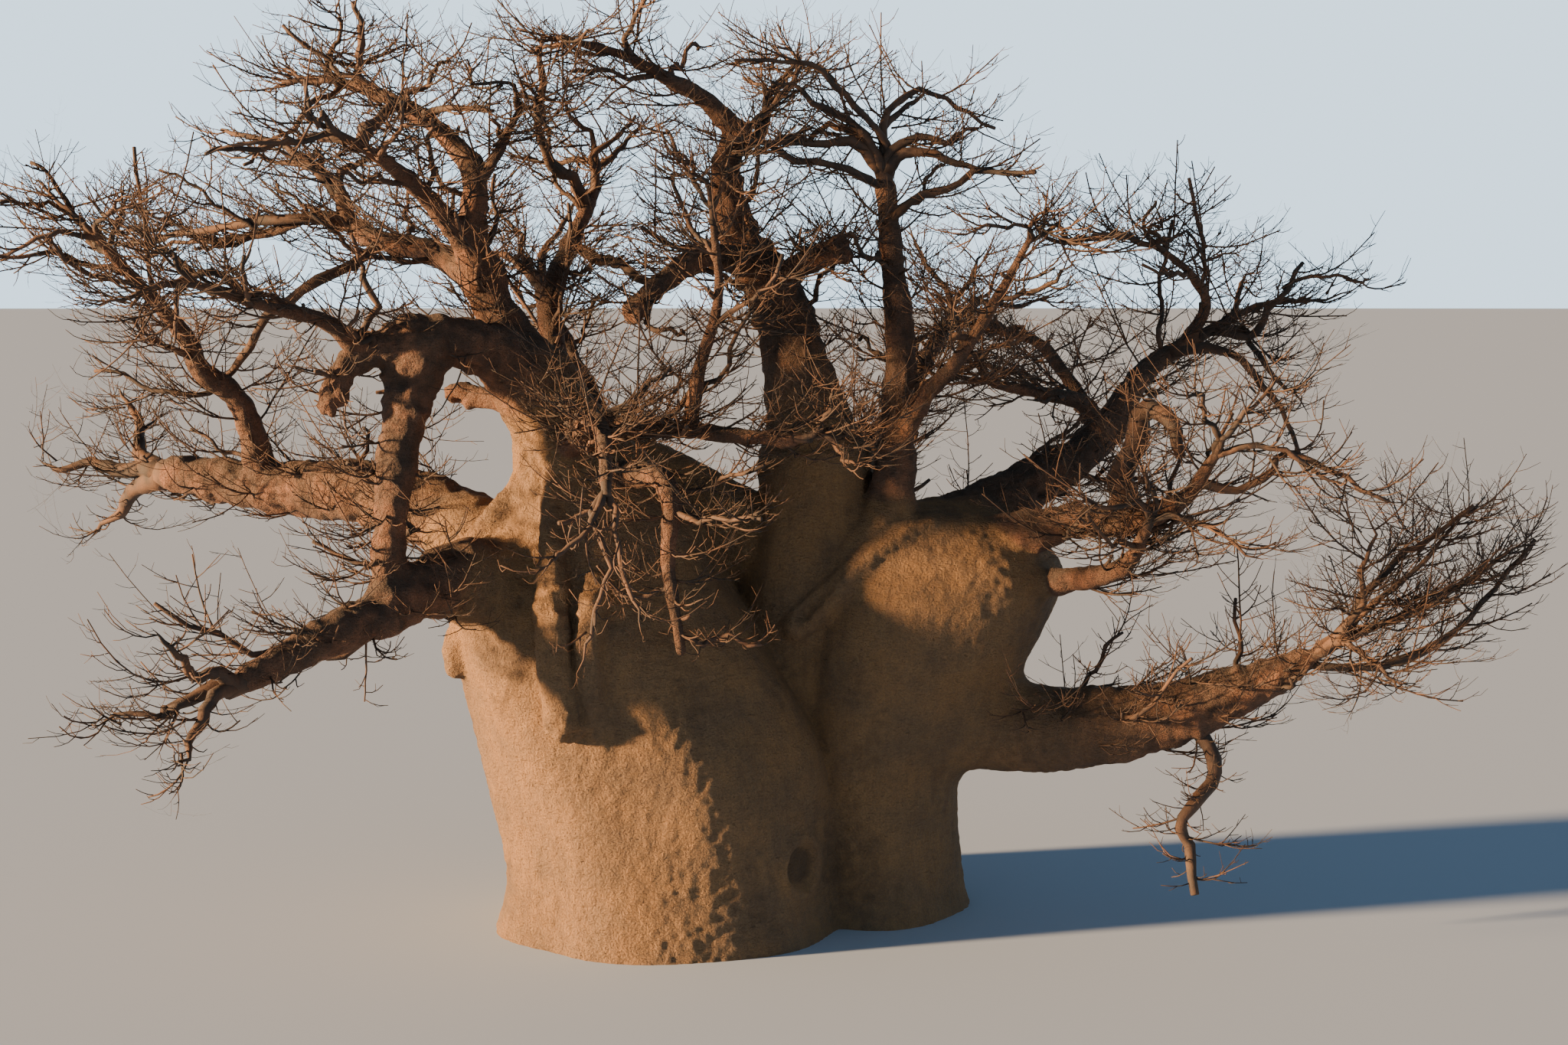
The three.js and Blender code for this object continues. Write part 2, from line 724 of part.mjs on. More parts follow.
// All the twigs of one mass as lines with radii: the stem, its leaders, the side twigs along
// each leader and a fork on every second one. What leaves the space or touches is left out.
function growMass(mass, bough, seed, wood) {
  const random = seededNumbers(seed);
  const last = bough.line.length - 1;
  const heading = directionAt(bough.line, last);
  const foot = bough.line[last].clone().addScaledVector(heading, CLEARANCE);
  const ends = mass.ends.map((place) => new THREE.Vector3(...place));
  const inside = spaceAround(foot, ends);
  const owner = `twigs_${mass.bough}`;
  const stemRadius = bough.tipRadius * STEM_SHARE;
  const stemEnd = foot.clone().addScaledVector(heading, STEM_LENGTH);
  const grown = [{ line: [foot, stemEnd], radii: [stemRadius, stemRadius * STEM_TAPER] }];
  const fits = (line, radii) => line.every(inside) && !touchesAny(line, radii, wood, owner);
  for (const end of ends) {
    const root = foot.clone().addScaledVector(heading, STEM_LENGTH * LEADER_FOOT);
    const line = leaderLine(root, heading, end, random);
    const rootRadius = stemRadius * LEADER_SHARE;
    const radii = line.map((_, index) => (
      THREE.MathUtils.lerp(rootRadius, LEADER_TIP, (index / LEADER_STEPS) ** LEADER_TAPER)
    ));
    radii[LEADER_STEPS] = 0;
    grown.push({ line, radii });
    const count = Math.max(2, Math.round(root.distanceTo(end) / SIDE_TWIG_SPACING));
    const firstTurn = 2 * Math.PI * random();
    for (let index = 0; index < count; index += 1) {
      const share = FIRST_TWIG + (TWIGGED_STRETCH * (index + 0.5)) / count;
      const step = Math.min(LEADER_STEPS - 1, Math.floor(share * LEADER_STEPS));
      const within = share * LEADER_STEPS - step;
      const along = line[step + 1].clone().sub(line[step]);
      const twigRoot = line[step].clone().addScaledVector(along, within);
      const carrier = THREE.MathUtils.lerp(radii[step], radii[step + 1], within);
      const angle = LEAST_TWIG_ANGLE + TWIG_ANGLE_SPREAD * random();
      const turn = firstTurn + index * GOLDEN_ANGLE;
      const length = SIDE_TWIG_LENGTH * (1.15 - 0.55 * share) * (0.7 + 0.5 * random());
      const twig = curlingTwig(twigRoot, along.normalize(), angle, turn, length, random);
      const thick = Math.min(SIDE_TWIG_RADIUS, 0.8 * carrier);
      const twigRadii = [thick, 0.7 * thick, 0];
      const forked = index % 2 === 0;
      const forkAngle = LEAST_TWIG_ANGLE + TWIG_ANGLE_SPREAD * random();
      const forkTurn = 2 * Math.PI * random();
      const fork = curlingTwig(
        twig[1], twig[1].clone().sub(twig[0]).normalize(), forkAngle, forkTurn,
        FORK_LENGTH * (0.8 + 0.4 * random()), random);
      if (!fits(twig, twigRadii)) {
        continue;
      }
      grown.push({ line: twig, radii: twigRadii });
      const forkRadii = [Math.min(FORK_RADIUS, 0.6 * thick), 0];
      const forkLine = [fork[0], fork[2]];
      if (forked && fits(forkLine, forkRadii)) {
        grown.push({ line: forkLine, radii: forkRadii });
      }
    }
  }
  return grown;
}

function makeMass(grown) {
  const twigs = grown.map(({ line, radii }) => (
    solidFromRings(ringsAlong(line, radii, TWIG_SIDES))
  ));
  return largestPiece(wasm.Manifold.union(twigs));
}

// A named mesh from a finished solid.
function namedMesh(name, solid, material) {
  const { vertProperties, triVerts } = solid.getMesh();
  const geometry = new THREE.BufferGeometry();
  geometry.setAttribute('position', new THREE.BufferAttribute(new Float32Array(vertProperties), 3));
  geometry.setIndex(new THREE.BufferAttribute(new Uint32Array(triVerts), 1));
  const mesh = new THREE.Mesh(geometry, material);
  mesh.name = name;
  return mesh;
}

const trunkBark = new THREE.MeshStandardMaterial({ color: TRUNK_COLOUR, roughness: 0.92, metalness: 0 });
const boughBark = new THREE.MeshStandardMaterial({ color: BOUGH_COLOUR, roughness: 0.9, metalness: 0 });
const twigBark = new THREE.MeshStandardMaterial({ color: TWIG_COLOUR, roughness: 0.85, metalness: 0 });

const baobab = new THREE.Group();
baobab.add(namedMesh('trunk', makeTrunk(0), trunkBark));

// Each bough is cut clear of the trunk and of every bough laid before it.
const keptClear = [makeTrunk(CLEARANCE)];
const layouts = new Map();
const wood = [];
for (const bole of BOLES) {
  const line = bole.levels.map(([z, x, y]) => new THREE.Vector3(x, y, z));
  const radii = bole.levels.map(([, , , halfWidth, halfDepth]) => Math.max(halfWidth, halfDepth));
  wood.push(...stretchesOf(line, radii, 'trunk'));
}
for (const bough of BOUGHS) {
  const layout = layOutBough(bough);
  let solid = makeBough(layout, 0);
  for (const other of keptClear) {
    solid = solid.subtract(other);
  }
  baobab.add(namedMesh(`bough_${bough.name}`, largestPiece(solid), boughBark));
  keptClear.push(makeBough(layout, CLEARANCE));
  layouts.set(bough.name, layout);
  wood.push(...stretchesOf(layout.line, layout.radii, bough.name));
}

MASSES.forEach((mass, index) => {
  const grown = growMass(mass, layouts.get(mass.bough), FIRST_SEED + index, wood);
  baobab.add(namedMesh(`twigs_${mass.bough}`, makeMass(grown), twigBark));
  for (const { line, radii } of grown) {
    wood.push(...stretchesOf(line, radii, `twigs_${mass.bough}`));
  }
});

export default baobab;
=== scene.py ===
# A bare baobab, in metres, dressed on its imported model: the bark of trunk and boughs with its
# folds and knots, and the bare twigs down to the finest spurs.
import math

import bpy
import numpy as np
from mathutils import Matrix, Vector, noise


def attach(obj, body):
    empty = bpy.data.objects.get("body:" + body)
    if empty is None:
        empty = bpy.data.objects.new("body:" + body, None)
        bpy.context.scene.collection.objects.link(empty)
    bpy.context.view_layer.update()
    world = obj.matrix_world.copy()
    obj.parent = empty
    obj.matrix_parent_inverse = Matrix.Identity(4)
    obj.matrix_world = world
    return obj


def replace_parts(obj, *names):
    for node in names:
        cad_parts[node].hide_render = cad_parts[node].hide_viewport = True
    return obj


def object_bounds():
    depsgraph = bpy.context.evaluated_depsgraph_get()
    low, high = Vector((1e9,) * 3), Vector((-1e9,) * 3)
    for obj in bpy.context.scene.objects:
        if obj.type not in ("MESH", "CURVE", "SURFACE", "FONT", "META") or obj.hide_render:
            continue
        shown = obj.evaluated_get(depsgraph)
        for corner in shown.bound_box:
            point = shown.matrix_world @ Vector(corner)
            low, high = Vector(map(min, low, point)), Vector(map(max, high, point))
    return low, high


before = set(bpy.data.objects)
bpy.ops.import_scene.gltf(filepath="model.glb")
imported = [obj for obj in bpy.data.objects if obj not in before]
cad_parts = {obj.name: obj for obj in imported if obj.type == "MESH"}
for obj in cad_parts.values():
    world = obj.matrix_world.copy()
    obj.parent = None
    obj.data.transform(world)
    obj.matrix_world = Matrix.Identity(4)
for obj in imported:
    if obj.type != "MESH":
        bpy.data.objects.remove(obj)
model_low, model_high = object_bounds()

# The view
# The broad side of the tree, seen from thirty paces off and a little above its shoulders.
VIEW_PLACE = (0.587, -26.0, 7.1)
VIEW_DIP = math.radians(5.55)
VIEW_LENS = 52.17
VIEW_REACH = 4000

view = bpy.data.objects.new("view", bpy.data.cameras.new("view"))
view.data.lens = VIEW_LENS
view.data.clip_end = VIEW_REACH
view.location = VIEW_PLACE
view.rotation_euler = (math.radians(90) - VIEW_DIP, 0, 0)
bpy.context.scene.collection.objects.link(view)
bpy.context.scene.camera = view

# The trunk's wood
# Three boles of soft wet wood grown together, and the rolls and shoulders that bridge them. It
# grew as one, so it is one body, rooted in the ground and cut off there.
FLUTE_TWIST = 0.9
BOLE_STEP = 0.1
BOLE_JOINT = 0.05
ROLL_STEP = 0.12
ROLL_GIRTH = 0.7
BELOW_GROUND = -1.0
NEVER_ZERO = 1e-9
TRUNK_NUMBER = 0

# Each level of a bole is its height, the place of its middle and half its width and depth.
BOLES = [
    dict(name="great bole", flutes=7, flute_depth=0.022, levels=[
        (-0.30, -0.72, -0.20, 2.12, 2.02), (0.00, -0.72, -0.20, 2.03, 1.94),
        (0.65, -0.72, -0.20, 1.89, 1.83), (1.80, -0.88, -0.20, 1.95, 1.86),
        (2.65, -1.15, -0.20, 1.90, 1.80), (3.45, -1.48, -0.20, 1.74, 1.67),
        (4.10, -1.56, -0.20, 1.42, 1.39), (4.60, -1.52, -0.20, 1.17, 1.15),
        (5.15, -1.64, -0.21, 0.86, 0.86), (5.65, -1.88, -0.23, 0.62, 0.64),
        (6.05, -2.08, -0.28, 0.50, 0.56), (6.35, -2.23, -0.33, 0.39, 0.48),
        (6.48, -2.27, -0.34, 0.24, 0.30)]),
    dict(name="shouldered bole", flutes=5, flute_depth=0.035, levels=[
        (-0.30, 1.45, 0.45, 1.38, 1.33), (0.00, 1.45, 0.45, 1.30, 1.25),
        (0.60, 1.45, 0.48, 1.20, 1.17), (1.70, 1.52, 0.48, 1.14, 1.12),
        (2.60, 1.85, 0.40, 1.35, 1.20), (3.30, 2.15, 0.35, 1.52, 1.25),
        (3.90, 2.36, 0.30, 1.50, 1.15), (4.30, 2.37, 0.30, 1.26, 0.92),
        (4.62, 2.30, 0.30, 0.82, 0.60), (4.74, 2.24, 0.30, 0.38, 0.30)]),
    dict(name="middle bole", flutes=5, flute_depth=0.03, levels=[
        (-0.30, 0.60, 1.00, 1.50, 1.30), (0.00, 0.60, 1.00, 1.45, 1.25),
        (1.20, 0.70, 0.90, 1.25, 1.10), (2.30, 0.85, 0.60, 1.10, 1.00),
        (3.40, 0.90, 0.45, 0.93, 0.90), (4.20, 0.95, 0.40, 0.79, 0.78),
        (4.80, 0.98, 0.35, 0.65, 0.65), (5.30, 0.94, 0.33, 0.54, 0.54)]),
]

# The rolls: their first and last radius, how wide the crease beside them is filled, and their
# places. One of them is broken off, and so thin that it doesn't count as trunk.
BROKEN_ROLL = "broken stub behind the arch"
ROLLS = [
    ("left shoulder", (0.82, 0.47), 0.15, [
        (-1.5, -0.1, 3.3), (-2.35, -0.1, 3.9), (-3.05, 0.15, 4.33)]),
    ("low left shoulder", (0.82, 0.41), 0.15, [
        (-1.6, -0.35, 3.15), (-2.4, -0.85, 3.75), (-2.95, -1.28, 4.03)]),
    ("saddle behind the neck", (0.42, 0.56), 0.15, [
        (-1.65, 0.25, 5.35), (-0.7, 0.62, 4.85), (0.4, 0.62, 4.15)]),
    ("ridge up to the mast", (0.46, 0.32), 0.08, [
        (0.65, 0.1, 3.05), (1.25, -0.14, 3.95), (1.81, -0.08, 4.62)]),
    ("burl down the front", (0.13, 0.2), 0.05, [
        (-1.97, -1.0, 4.95), (-1.93, -1.5, 4.35), (-1.9, -1.84, 3.65), (-1.86, -1.99, 3.1),
        (-1.76, -1.97, 2.6)]),
    ("knob that ends the burl", (0.2, 0.17), 0.05, [(-1.8, -2.02, 2.66), (-1.72, -2.03, 2.56)]),
    ("fold beside the burl", (0.13, 0.17), 0.06, [
        (-1.44, -1.62, 4.05), (-1.48, -1.84, 3.75), (-1.5, -1.95, 3.3), (-1.47, -1.94, 2.85),
        (-1.36, -1.83, 2.3), (-1.2, -1.78, 1.8)]),
    ("rim of the right shoulder", (0.19, 0.16), 0.06, [
        (0.74, -0.4, 3.42), (1.24, -0.5, 3.9), (1.58, -0.47, 4.22), (2.17, -0.26, 4.52),
        (2.75, -0.1, 4.55)]),
    ("bridge from shoulder to neck", (0.17, 0.15), 0.1, [
        (-2.85, -0.56, 4.35), (-2.62, -0.66, 4.7), (-2.25, -0.5, 5.12)]),
    (BROKEN_ROLL, (0.15, 0.11), 0.1, [
        (-2.15, -0.1, 5.75), (-2.65, 0.15, 5.95), (-3.25, 0.38, 6.05)]),
    ("lump on the left edge", (0.23, 0.15), 0.08, [
        (-2.74, -0.55, 3.55), (-3.06, -0.66, 3.3), (-3.1, -0.68, 3.0)]),
]


def curve_through(places, step):
    """Points on a smooth curve through the given places, one step or more to each stretch."""
    places = np.array(places, float)
    outer = np.vstack([2 * places[0] - places[1], places, 2 * places[-1] - places[-2]])
    points = [places[0]]
    for stretch in range(len(places) - 1):
        before, start, end, after = outer[stretch:stretch + 4]
        leaving = (end - before) / 2
        arriving = (after - start) / 2
        steps = max(1, int(np.linalg.norm(end[:3] - start[:3]) / step + 0.5))
        for index in range(1, steps + 1):
            share = index / steps
            bend = 3 * (end - start) - 2 * leaving - arriving
            points.append(start + share * (leaving + share * (bend + share * (
                2 * (start - end) + leaving + arriving))))
    return np.array(points)


def round_limb(line, radii, joint, owner):
    """A tapering limb of round section as one part of the wood."""
    room = radii.max() + 2 * joint
    return dict(line=line, radii=radii, joint=joint, owner=owner,
                low=line.min(axis=0) - room, high=line.max(axis=0) + room)


def limb_gap(part, points):
    """How far points lie outside a limb, below zero inside it, and how stout it is there."""
    nearest = np.full(len(points), np.inf)
    girth = np.zeros(len(points))
    line = part["line"]
    radii = part["radii"]
    for index in range(len(line) - 1):
        along = line[index + 1] - line[index]
        offset = points - line[index]
        share = np.clip(offset @ along / (along @ along), 0, 1)
        radius = radii[index] + (radii[index + 1] - radii[index]) * share
        gap = np.linalg.norm(offset - share[:, None] * along, axis=1) - radius
        closer = gap < nearest
        nearest[closer] = gap[closer]
        girth[closer] = radius[closer]
    if part.get("broken"):
        ahead = line[-1] - line[-2]
        nearest = np.maximum(nearest, (points - line[-1]) @ ahead / np.linalg.norm(ahead))
    return nearest, np.maximum(girth, part.get("least_girth", 0))


def bole_section(bole, heights):
    """Middle and half spans of a bole at the given heights."""
    levels = bole["levels"]
    return [np.interp(heights, levels[:, 0], levels[:, column]) for column in (1, 2, 3, 4)]


def bole_gap(bole, points):
    """How far points lie outside a fluted bole, and its radius beside them."""
    levels = bole["levels"]
    heights = np.clip(points[:, 2], levels[0, 0], levels[-1, 0])
    middle_x, middle_y, half_width, half_depth = bole_section(bole, heights)
    across = points[:, 0] - middle_x
    beside = points[:, 1] - middle_y
    turn = np.arctan2(beside / half_depth, across / half_width)
    flutes = bole["flutes"] * turn + heights / FLUTE_TWIST
    swell = 1 + bole["flute_depth"] * np.cos(flutes)
    spread = np.hypot(across / half_width, beside / half_depth) + NEVER_ZERO
    reach = np.hypot(across, beside)
    lean = np.interp(heights, levels[:, 0], np.gradient(levels[:, 3], levels[:, 0]))
    gap = reach * (1 - swell / spread) / np.hypot(1, lean)
    above = points[:, 2] - levels[-1, 0]
    gap = np.where(above > 0, np.hypot(np.maximum(gap, 0), above), gap)
    return gap, np.maximum(half_width, ROLL_GIRTH)


wood = []
for bole in BOLES:
    fine = curve_through(
        [(x, y, z, wide, deep) for z, x, y, wide, deep in bole["levels"]], BOLE_STEP)
    levels = fine[:, [2, 0, 1, 3, 4]]
    reach = levels[:, 3:].max() + 2 * BOLE_JOINT
    wood.append(dict(bole, levels=levels, joint=BOLE_JOINT, owner=TRUNK_NUMBER,
                     low=np.array([levels[:, 1].min() - reach, levels[:, 2].min() - reach,
                                   BELOW_GROUND]),
                     high=np.array([levels[:, 1].max() + reach, levels[:, 2].max() + reach,
                                    levels[-1, 0] + BOLE_JOINT * 2])))
for name, (first, last), joint, places in ROLLS:
    line = curve_through(places, ROLL_STEP)
    roll = round_limb(line, np.linspace(first, last, len(line)), joint, TRUNK_NUMBER)
    if name == BROKEN_ROLL:
        roll["broken"] = True
    else:
        roll["least_girth"] = ROLL_GIRTH
    wood.append(roll)

# The boughs' wood
# Limbs of the same soft wood, each tapering from a collar where it grows out of the wood that
# carries it. Three of them end in a break. They are listed in the order they grew, with their
# radii at root and tip, how fast they thin at first, and their places.
COLLAR_SHARE = 0.28
COLLAR_LENGTH = 0.33
COARSE_STEP = 0.64
FINE_STEP = 0.1
BOUGH_JOINT_SHARE = 0.55
BROKEN = ["stump_left", "stump_right", "arch"]
BOUGHS = {
    "left_riser": ((0.33, 0.122), 1, [
        (-2.16, -0.22, 6.12), (-2.46, -0.4, 6.62), (-2.71, -0.6, 7.2), (-2.86, -0.8, 7.8),
        (-2.79, -0.9, 8.25), (-2.84, -0.9, 8.6)]),
    "left_crest": ((0.112, 0.055), 1, [
        (-2.84, -0.9, 8.6), (-3.2, -0.7, 8.98), (-3.8, -0.3, 9.35), (-4.5, 0.3, 9.6)]),
    "left_tuft": ((0.072, 0.042), 1, [
        (-2.8, -0.9, 8.33), (-2.55, -1.0, 8.68), (-2.35, -1.12, 9.02)]),
    "left_inner": ((0.145, 0.05), 1, [
        (-2.84, -0.75, 7.65), (-3.25, -1.5, 8.23), (-3.55, -2.2, 8.55), (-3.85, -2.8, 8.75)]),
    "left_back": ((0.19, 0.095), 1, [
        (-2.77, -0.64, 7.38), (-3.45, 0.55, 7.66), (-4.3, 1.5, 7.85), (-4.7, 2.0, 8.05),
        (-4.85, 2.2, 8.38)]),
    "left_back_low": ((0.084, 0.05), 1, [
        (-4.48, 1.72, 7.93), (-5.2, 2.4, 8.16), (-5.85, 2.9, 7.98), (-6.55, 3.4, 7.9)]),
    "low_lower": ((0.45, 0.14), 1, [
        (-2.15, -0.5, 3.95), (-3.15, -1.5, 4.08), (-3.75, -2.2, 3.78), (-4.35, -2.8, 3.55),
        (-4.85, -3.3, 3.3)]),
    "low_upper": ((0.5, 0.235), 1, [
        (-2.25, 0.0, 3.95), (-3.45, 0.5, 4.6), (-4.45, 1.0, 4.85), (-5.6, 1.6, 4.85),
        (-6.95, 2.2, 4.95)]),
    "low_riser": ((0.185, 0.055), 1, [
        (-5.75, 1.65, 4.85), (-5.85, 1.4, 5.55), (-6.0, 1.2, 6.0), (-6.3, 0.9, 6.3),
        (-6.43, 0.7, 6.7), (-6.75, 0.3, 7.2), (-7.05, -0.2, 7.7)]),
    "arch": ((0.37, 0.095), 1, [
        (-2.22, -0.45, 6.18), (-2.6, -0.9, 6.52), (-3.05, -1.2, 6.68), (-3.6, -1.5, 6.65),
        (-4.05, -1.7, 6.43), (-4.3, -1.8, 5.95)]),
    "arch_prop": ((0.28, 0.15), 1, [
        (-3.35, -1.38, 6.6), (-3.5, -1.48, 5.95), (-3.6, -1.8, 5.0), (-3.64, -2.1, 3.9)]),
    "arch_spur": ((0.095, 0.048), 1, [
        (-3.88, -1.61, 6.56), (-4.25, -2.1, 6.9), (-4.7, -2.7, 7.05), (-5.05, -3.2, 7.2)]),
    "neck_limb": ((0.19, 0.085), 1, [
        (-2.08, 0.0, 6.05), (-2.12, 0.55, 6.55), (-2.15, 0.9, 7.2), (-1.95, 1.3, 7.8),
        (-1.75, 1.6, 8.3)]),
    "front_bar": ((0.145, 0.06), 1, [
        (-1.65, -0.42, 5.65), (-1.1, -1.15, 5.74), (-0.5, -1.75, 5.75), (0.1, -2.25, 5.7),
        (0.65, -2.6, 5.7)]),
    "bar_spire": ((0.082, 0.042), 1, [
        (-0.42, -1.82, 5.75), (-0.3, -1.9, 6.4), (-0.1, -2.0, 7.15), (-0.15, -2.2, 7.9)]),
    "front_droop": ((0.15, 0.062), 1, [
        (-1.85, -0.5, 5.35), (-1.62, -1.4, 5.72), (-1.4, -2.3, 5.88), (-1.22, -3.2, 5.74),
        (-1.15, -3.9, 5.35)]),
    "hook_stub": ((0.165, 0.048), 1, [
        (-1.35, -0.62, 5.1), (-0.98, -1.25, 5.22), (-0.72, -1.72, 5.2), (-0.6, -1.93, 4.88),
        (-0.64, -2.08, 4.35), (-0.5, -2.2, 3.42)]),
    "centre_stem": ((0.5, 0.112), 1, [
        (0.94, 0.33, 5.29), (0.81, 0.4, 6.05), (0.6, 0.5, 6.85), (0.4, 0.55, 7.35),
        (0.05, 0.6, 7.9), (-0.1, 0.5, 8.6), (0.05, 0.4, 9.05)]),
    "centre_crest": ((0.108, 0.042), 1, [
        (0.05, 0.4, 9.05), (-0.33, 0.2, 9.4), (-0.75, -0.1, 9.6), (-1.15, -0.45, 9.8),
        (-1.6, -0.8, 9.9)]),
    "centre_mast": ((0.078, 0.04), 1, [
        (-0.04, 0.47, 8.78), (0.33, 0.95, 9.1), (0.4, 1.6, 9.55), (0.65, 2.2, 9.9)]),
    "stump_left": ((0.15, 0.108), 1, [
        (0.33, 0.57, 7.48), (-0.25, -0.3, 7.62), (-0.75, -0.8, 7.32), (-1.1, -1.2, 6.95)]),
    "stump_right": ((0.15, 0.125), 1, [(0.42, 0.54, 7.25), (0.85, -0.1, 7.55), (1.25, -0.6, 7.7)]),
    "right_mast": ((0.265, 0.115), 1.2, [
        (1.8, 0.02, 4.45), (1.88, -0.1, 5.65), (1.9, 0.0, 6.75), (1.8, 0.2, 7.75),
        (1.75, 0.3, 8.4)]),
    "mast_side": ((0.125, 0.042), 1, [
        (1.88, -0.09, 5.45), (2.15, -0.65, 6.05), (2.45, -1.1, 6.42), (2.85, -1.5, 7.1),
        (3.1, -1.8, 7.6)]),
    "right_limb": ((0.4, 0.195), 1, [
        (2.35, 0.48, 4.3), (3.3, 0.9, 4.82), (4.1, 1.3, 5.25), (4.6, 1.6, 5.65)]),
    "right_head": ((0.17, 0.09), 1, [
        (4.6, 1.6, 5.65), (4.85, 1.7, 6.1), (5.2, 1.9, 6.4), (5.65, 2.0, 6.65)]),
    "right_hook": ((0.078, 0.042), 1, [
        (5.48, 1.96, 6.56), (5.72, 1.75, 7.05), (5.47, 1.45, 7.43), (5.1, 1.2, 7.7)]),
    "right_back": ((0.115, 0.048), 1, [
        (4.42, 1.48, 5.48), (4.15, 1.15, 5.9), (3.5, 0.8, 6.05), (3.0, 0.5, 6.18),
        (2.8, 0.3, 6.5)]),
    "right_rise": ((0.112, 0.055), 1, [
        (4.42, 1.52, 5.48), (4.2, 2.2, 6.0), (4.05, 2.6, 6.28), (3.8, 3.1, 6.6),
        (3.25, 3.6, 6.75)]),
    "right_sweep": ((0.29, 0.06), 1, [
        (2.85, 0.12, 4.25), (3.8, -0.6, 4.65), (4.35, -1.2, 4.7), (4.85, -1.8, 5.0),
        (5.05, -2.2, 5.4)]),
    "shoulder_stub": ((0.165, 0.06), 1, [
        (3.35, -0.15, 3.85), (4.15, -0.9, 4.08), (4.35, -1.4, 4.28), (4.45, -1.9, 4.7)]),
    "ground_limb": ((0.62, 0.085), 0.62, [
        (2.1, 0.3, 2.5), (3.2, 0.1, 2.2), (4.15, -0.2, 2.23), (5.1, -0.5, 2.48),
        (5.85, -0.9, 2.85), (6.4, -1.2, 3.2)]),
    "rear_left": ((0.33, 0.105), 1, [
        (-1.2, 0.5, 4.1), (-1.35, 1.7, 4.8), (-1.9, 2.8, 5.8), (-2.6, 4.2, 7.2)]),
    "rear_right": ((0.3, 0.1), 1, [
        (1.1, 0.7, 4.0), (1.35, 1.7, 4.65), (1.9, 3.0, 5.5), (2.7, 4.6, 6.7)]),
}


def distances_along(line):
    """How far along the line each of its points lies."""
    return np.concatenate([[0], np.cumsum(np.linalg.norm(np.diff(line, axis=0), axis=1))])


def lay_out_bough(name, step):
    """The middle line of a bough and its radius at each point of it."""
    (root, tip), thinning, places = BOUGHS[name]
    line = curve_through(places, step)
    along = distances_along(line)
    left = np.clip(1 - along / along[-1], 0, 1) ** thinning
    collar = COLLAR_SHARE * root * np.exp(-along / COLLAR_LENGTH)
    return line, tip + (root - tip) * left + collar


bough_names = list(BOUGHS)
for owner, name in enumerate(bough_names, start=TRUNK_NUMBER + 1):
    line, radii = lay_out_bough(name, FINE_STEP)
    limb = round_limb(line, radii, BOUGH_JOINT_SHARE * BOUGHS[name][0][0], owner)
    limb["broken"] = name in BROKEN
    wood.append(limb)

# The hollows: the groove behind the rim of the right shoulder, a rotted pit under the burl, a
# slit below it, and the cores of the broken stubs.
HOLLOW_RIM = 0.05
FAR_OUT = 1.0
GROOVE_RADIUS = 0.13
GROOVE = [
    (0.78, -0.62, 3.62), (1.2, -0.72, 4.18), (1.75, -0.56, 4.58), (2.3, -0.3, 4.82),
    (2.9, -0.1, 4.86)]
HOLLOWS = [(tuple(place), GROOVE_RADIUS) for place in curve_through(GROOVE, ROLL_STEP)] + [
    ((-1.62, -2.12, 2.42), 0.13), ((-2.13, -1.8, 1.99), 0.06), ((-2.07, -1.82, 1.98), 0.07),
    ((-2.01, -1.84, 1.98), 0.06), ((-1.11, -1.21, 6.94), 0.09), ((1.27, -0.62, 7.71), 0.105),
    ((-3.27, 0.39, 6.05), 0.08),
]


def wood_gap(points):
    """How far points lie outside all the wood, whose it is and its radius beside them."""
    total = np.full(len(points), FAR_OUT)
    nearest = np.full(len(points), FAR_OUT)
    owner = np.zeros(len(points), int)
    girth = np.ones(len(points))
    for part in wood:
        close = np.flatnonzero(np.all((points > part["low"]) & (points < part["high"]), axis=1))
        if len(close) == 0:
            continue
        measure = bole_gap if "flutes" in part else limb_gap
        gap, radius = measure(part, points[close])
        before = total[close]
        blend = np.clip(part["joint"] - np.abs(before - gap), 0, None) / part["joint"]
        total[close] = np.minimum(before, gap) - blend * blend * part["joint"] / 4
        closer = gap < nearest[close]
        nearest[close[closer]] = gap[closer]
        owner[close[closer]] = part["owner"]
        girth[close[closer]] = radius[closer]
    for place, radius in HOLLOWS:
        away = radius - np.linalg.norm(points - place, axis=1)
        blend = np.clip(HOLLOW_RIM - np.abs(total - away), 0, None) / HOLLOW_RIM
        total = np.maximum(total, away) + blend * blend * HOLLOW_RIM / 4
    return total, owner, girth


# The bark
# A thin living skin over all the wood, in one with it. It folds and creases across the limbs,
# swells over knots and burls and is finely pimpled everywhere. Shade is painted into its creases
# and onto the limbs' upper sides.
BARK_STEP = 0.032
ROUGH_SIDES = 28
SETTLE_ROUNDS = 5
LONGEST_MOVE = 0.05
GIRTH_ROUNDS = 50

# The radii over which limb passes into trunk, and twig into limb.
TRUNK_GIRTH = (0.3, 0.65)
LIMB_GIRTH = (0.05, 0.2)

# How high each unevenness of the bark stands and how large its lumps are. Those of the limbs
# and the knots stand as high as a share of the limb's radius.
SWELL_HEIGHT = 0.03
SWELL_SIZE = (0.9, 0.9, 1.4)
DIMPLE_HEIGHT = 0.008
DIMPLE_SIZE = (0.2, 0.2, 0.42)
PIMPLE_HEIGHT = 0.011
PIMPLE_SIZE = (0.08, 0.08, 0.1)
CREASE_DEPTH = 0.015
CREASE_SIZE = (0.22, 0.22, 0.09)
LIMB_LUMP_SHARE = 0.2
LIMB_LUMP_SIZE = 0.33
LIMB_BUMP_SHARE = 0.12
LIMB_BUMP_SIZE = 0.14
FOLD_HEIGHT = 0.012
LIMB_FOLD_EXTRA = 0.012
FOLD_SIZE = (0.55, 0.55, 0.13)
FOLD_LEVEL = 0.8
FOLD_WAVER = 0.15
FOLD_WAVER_SIZE = 0.5
FOLD_PATCH_SIZE = 1.3
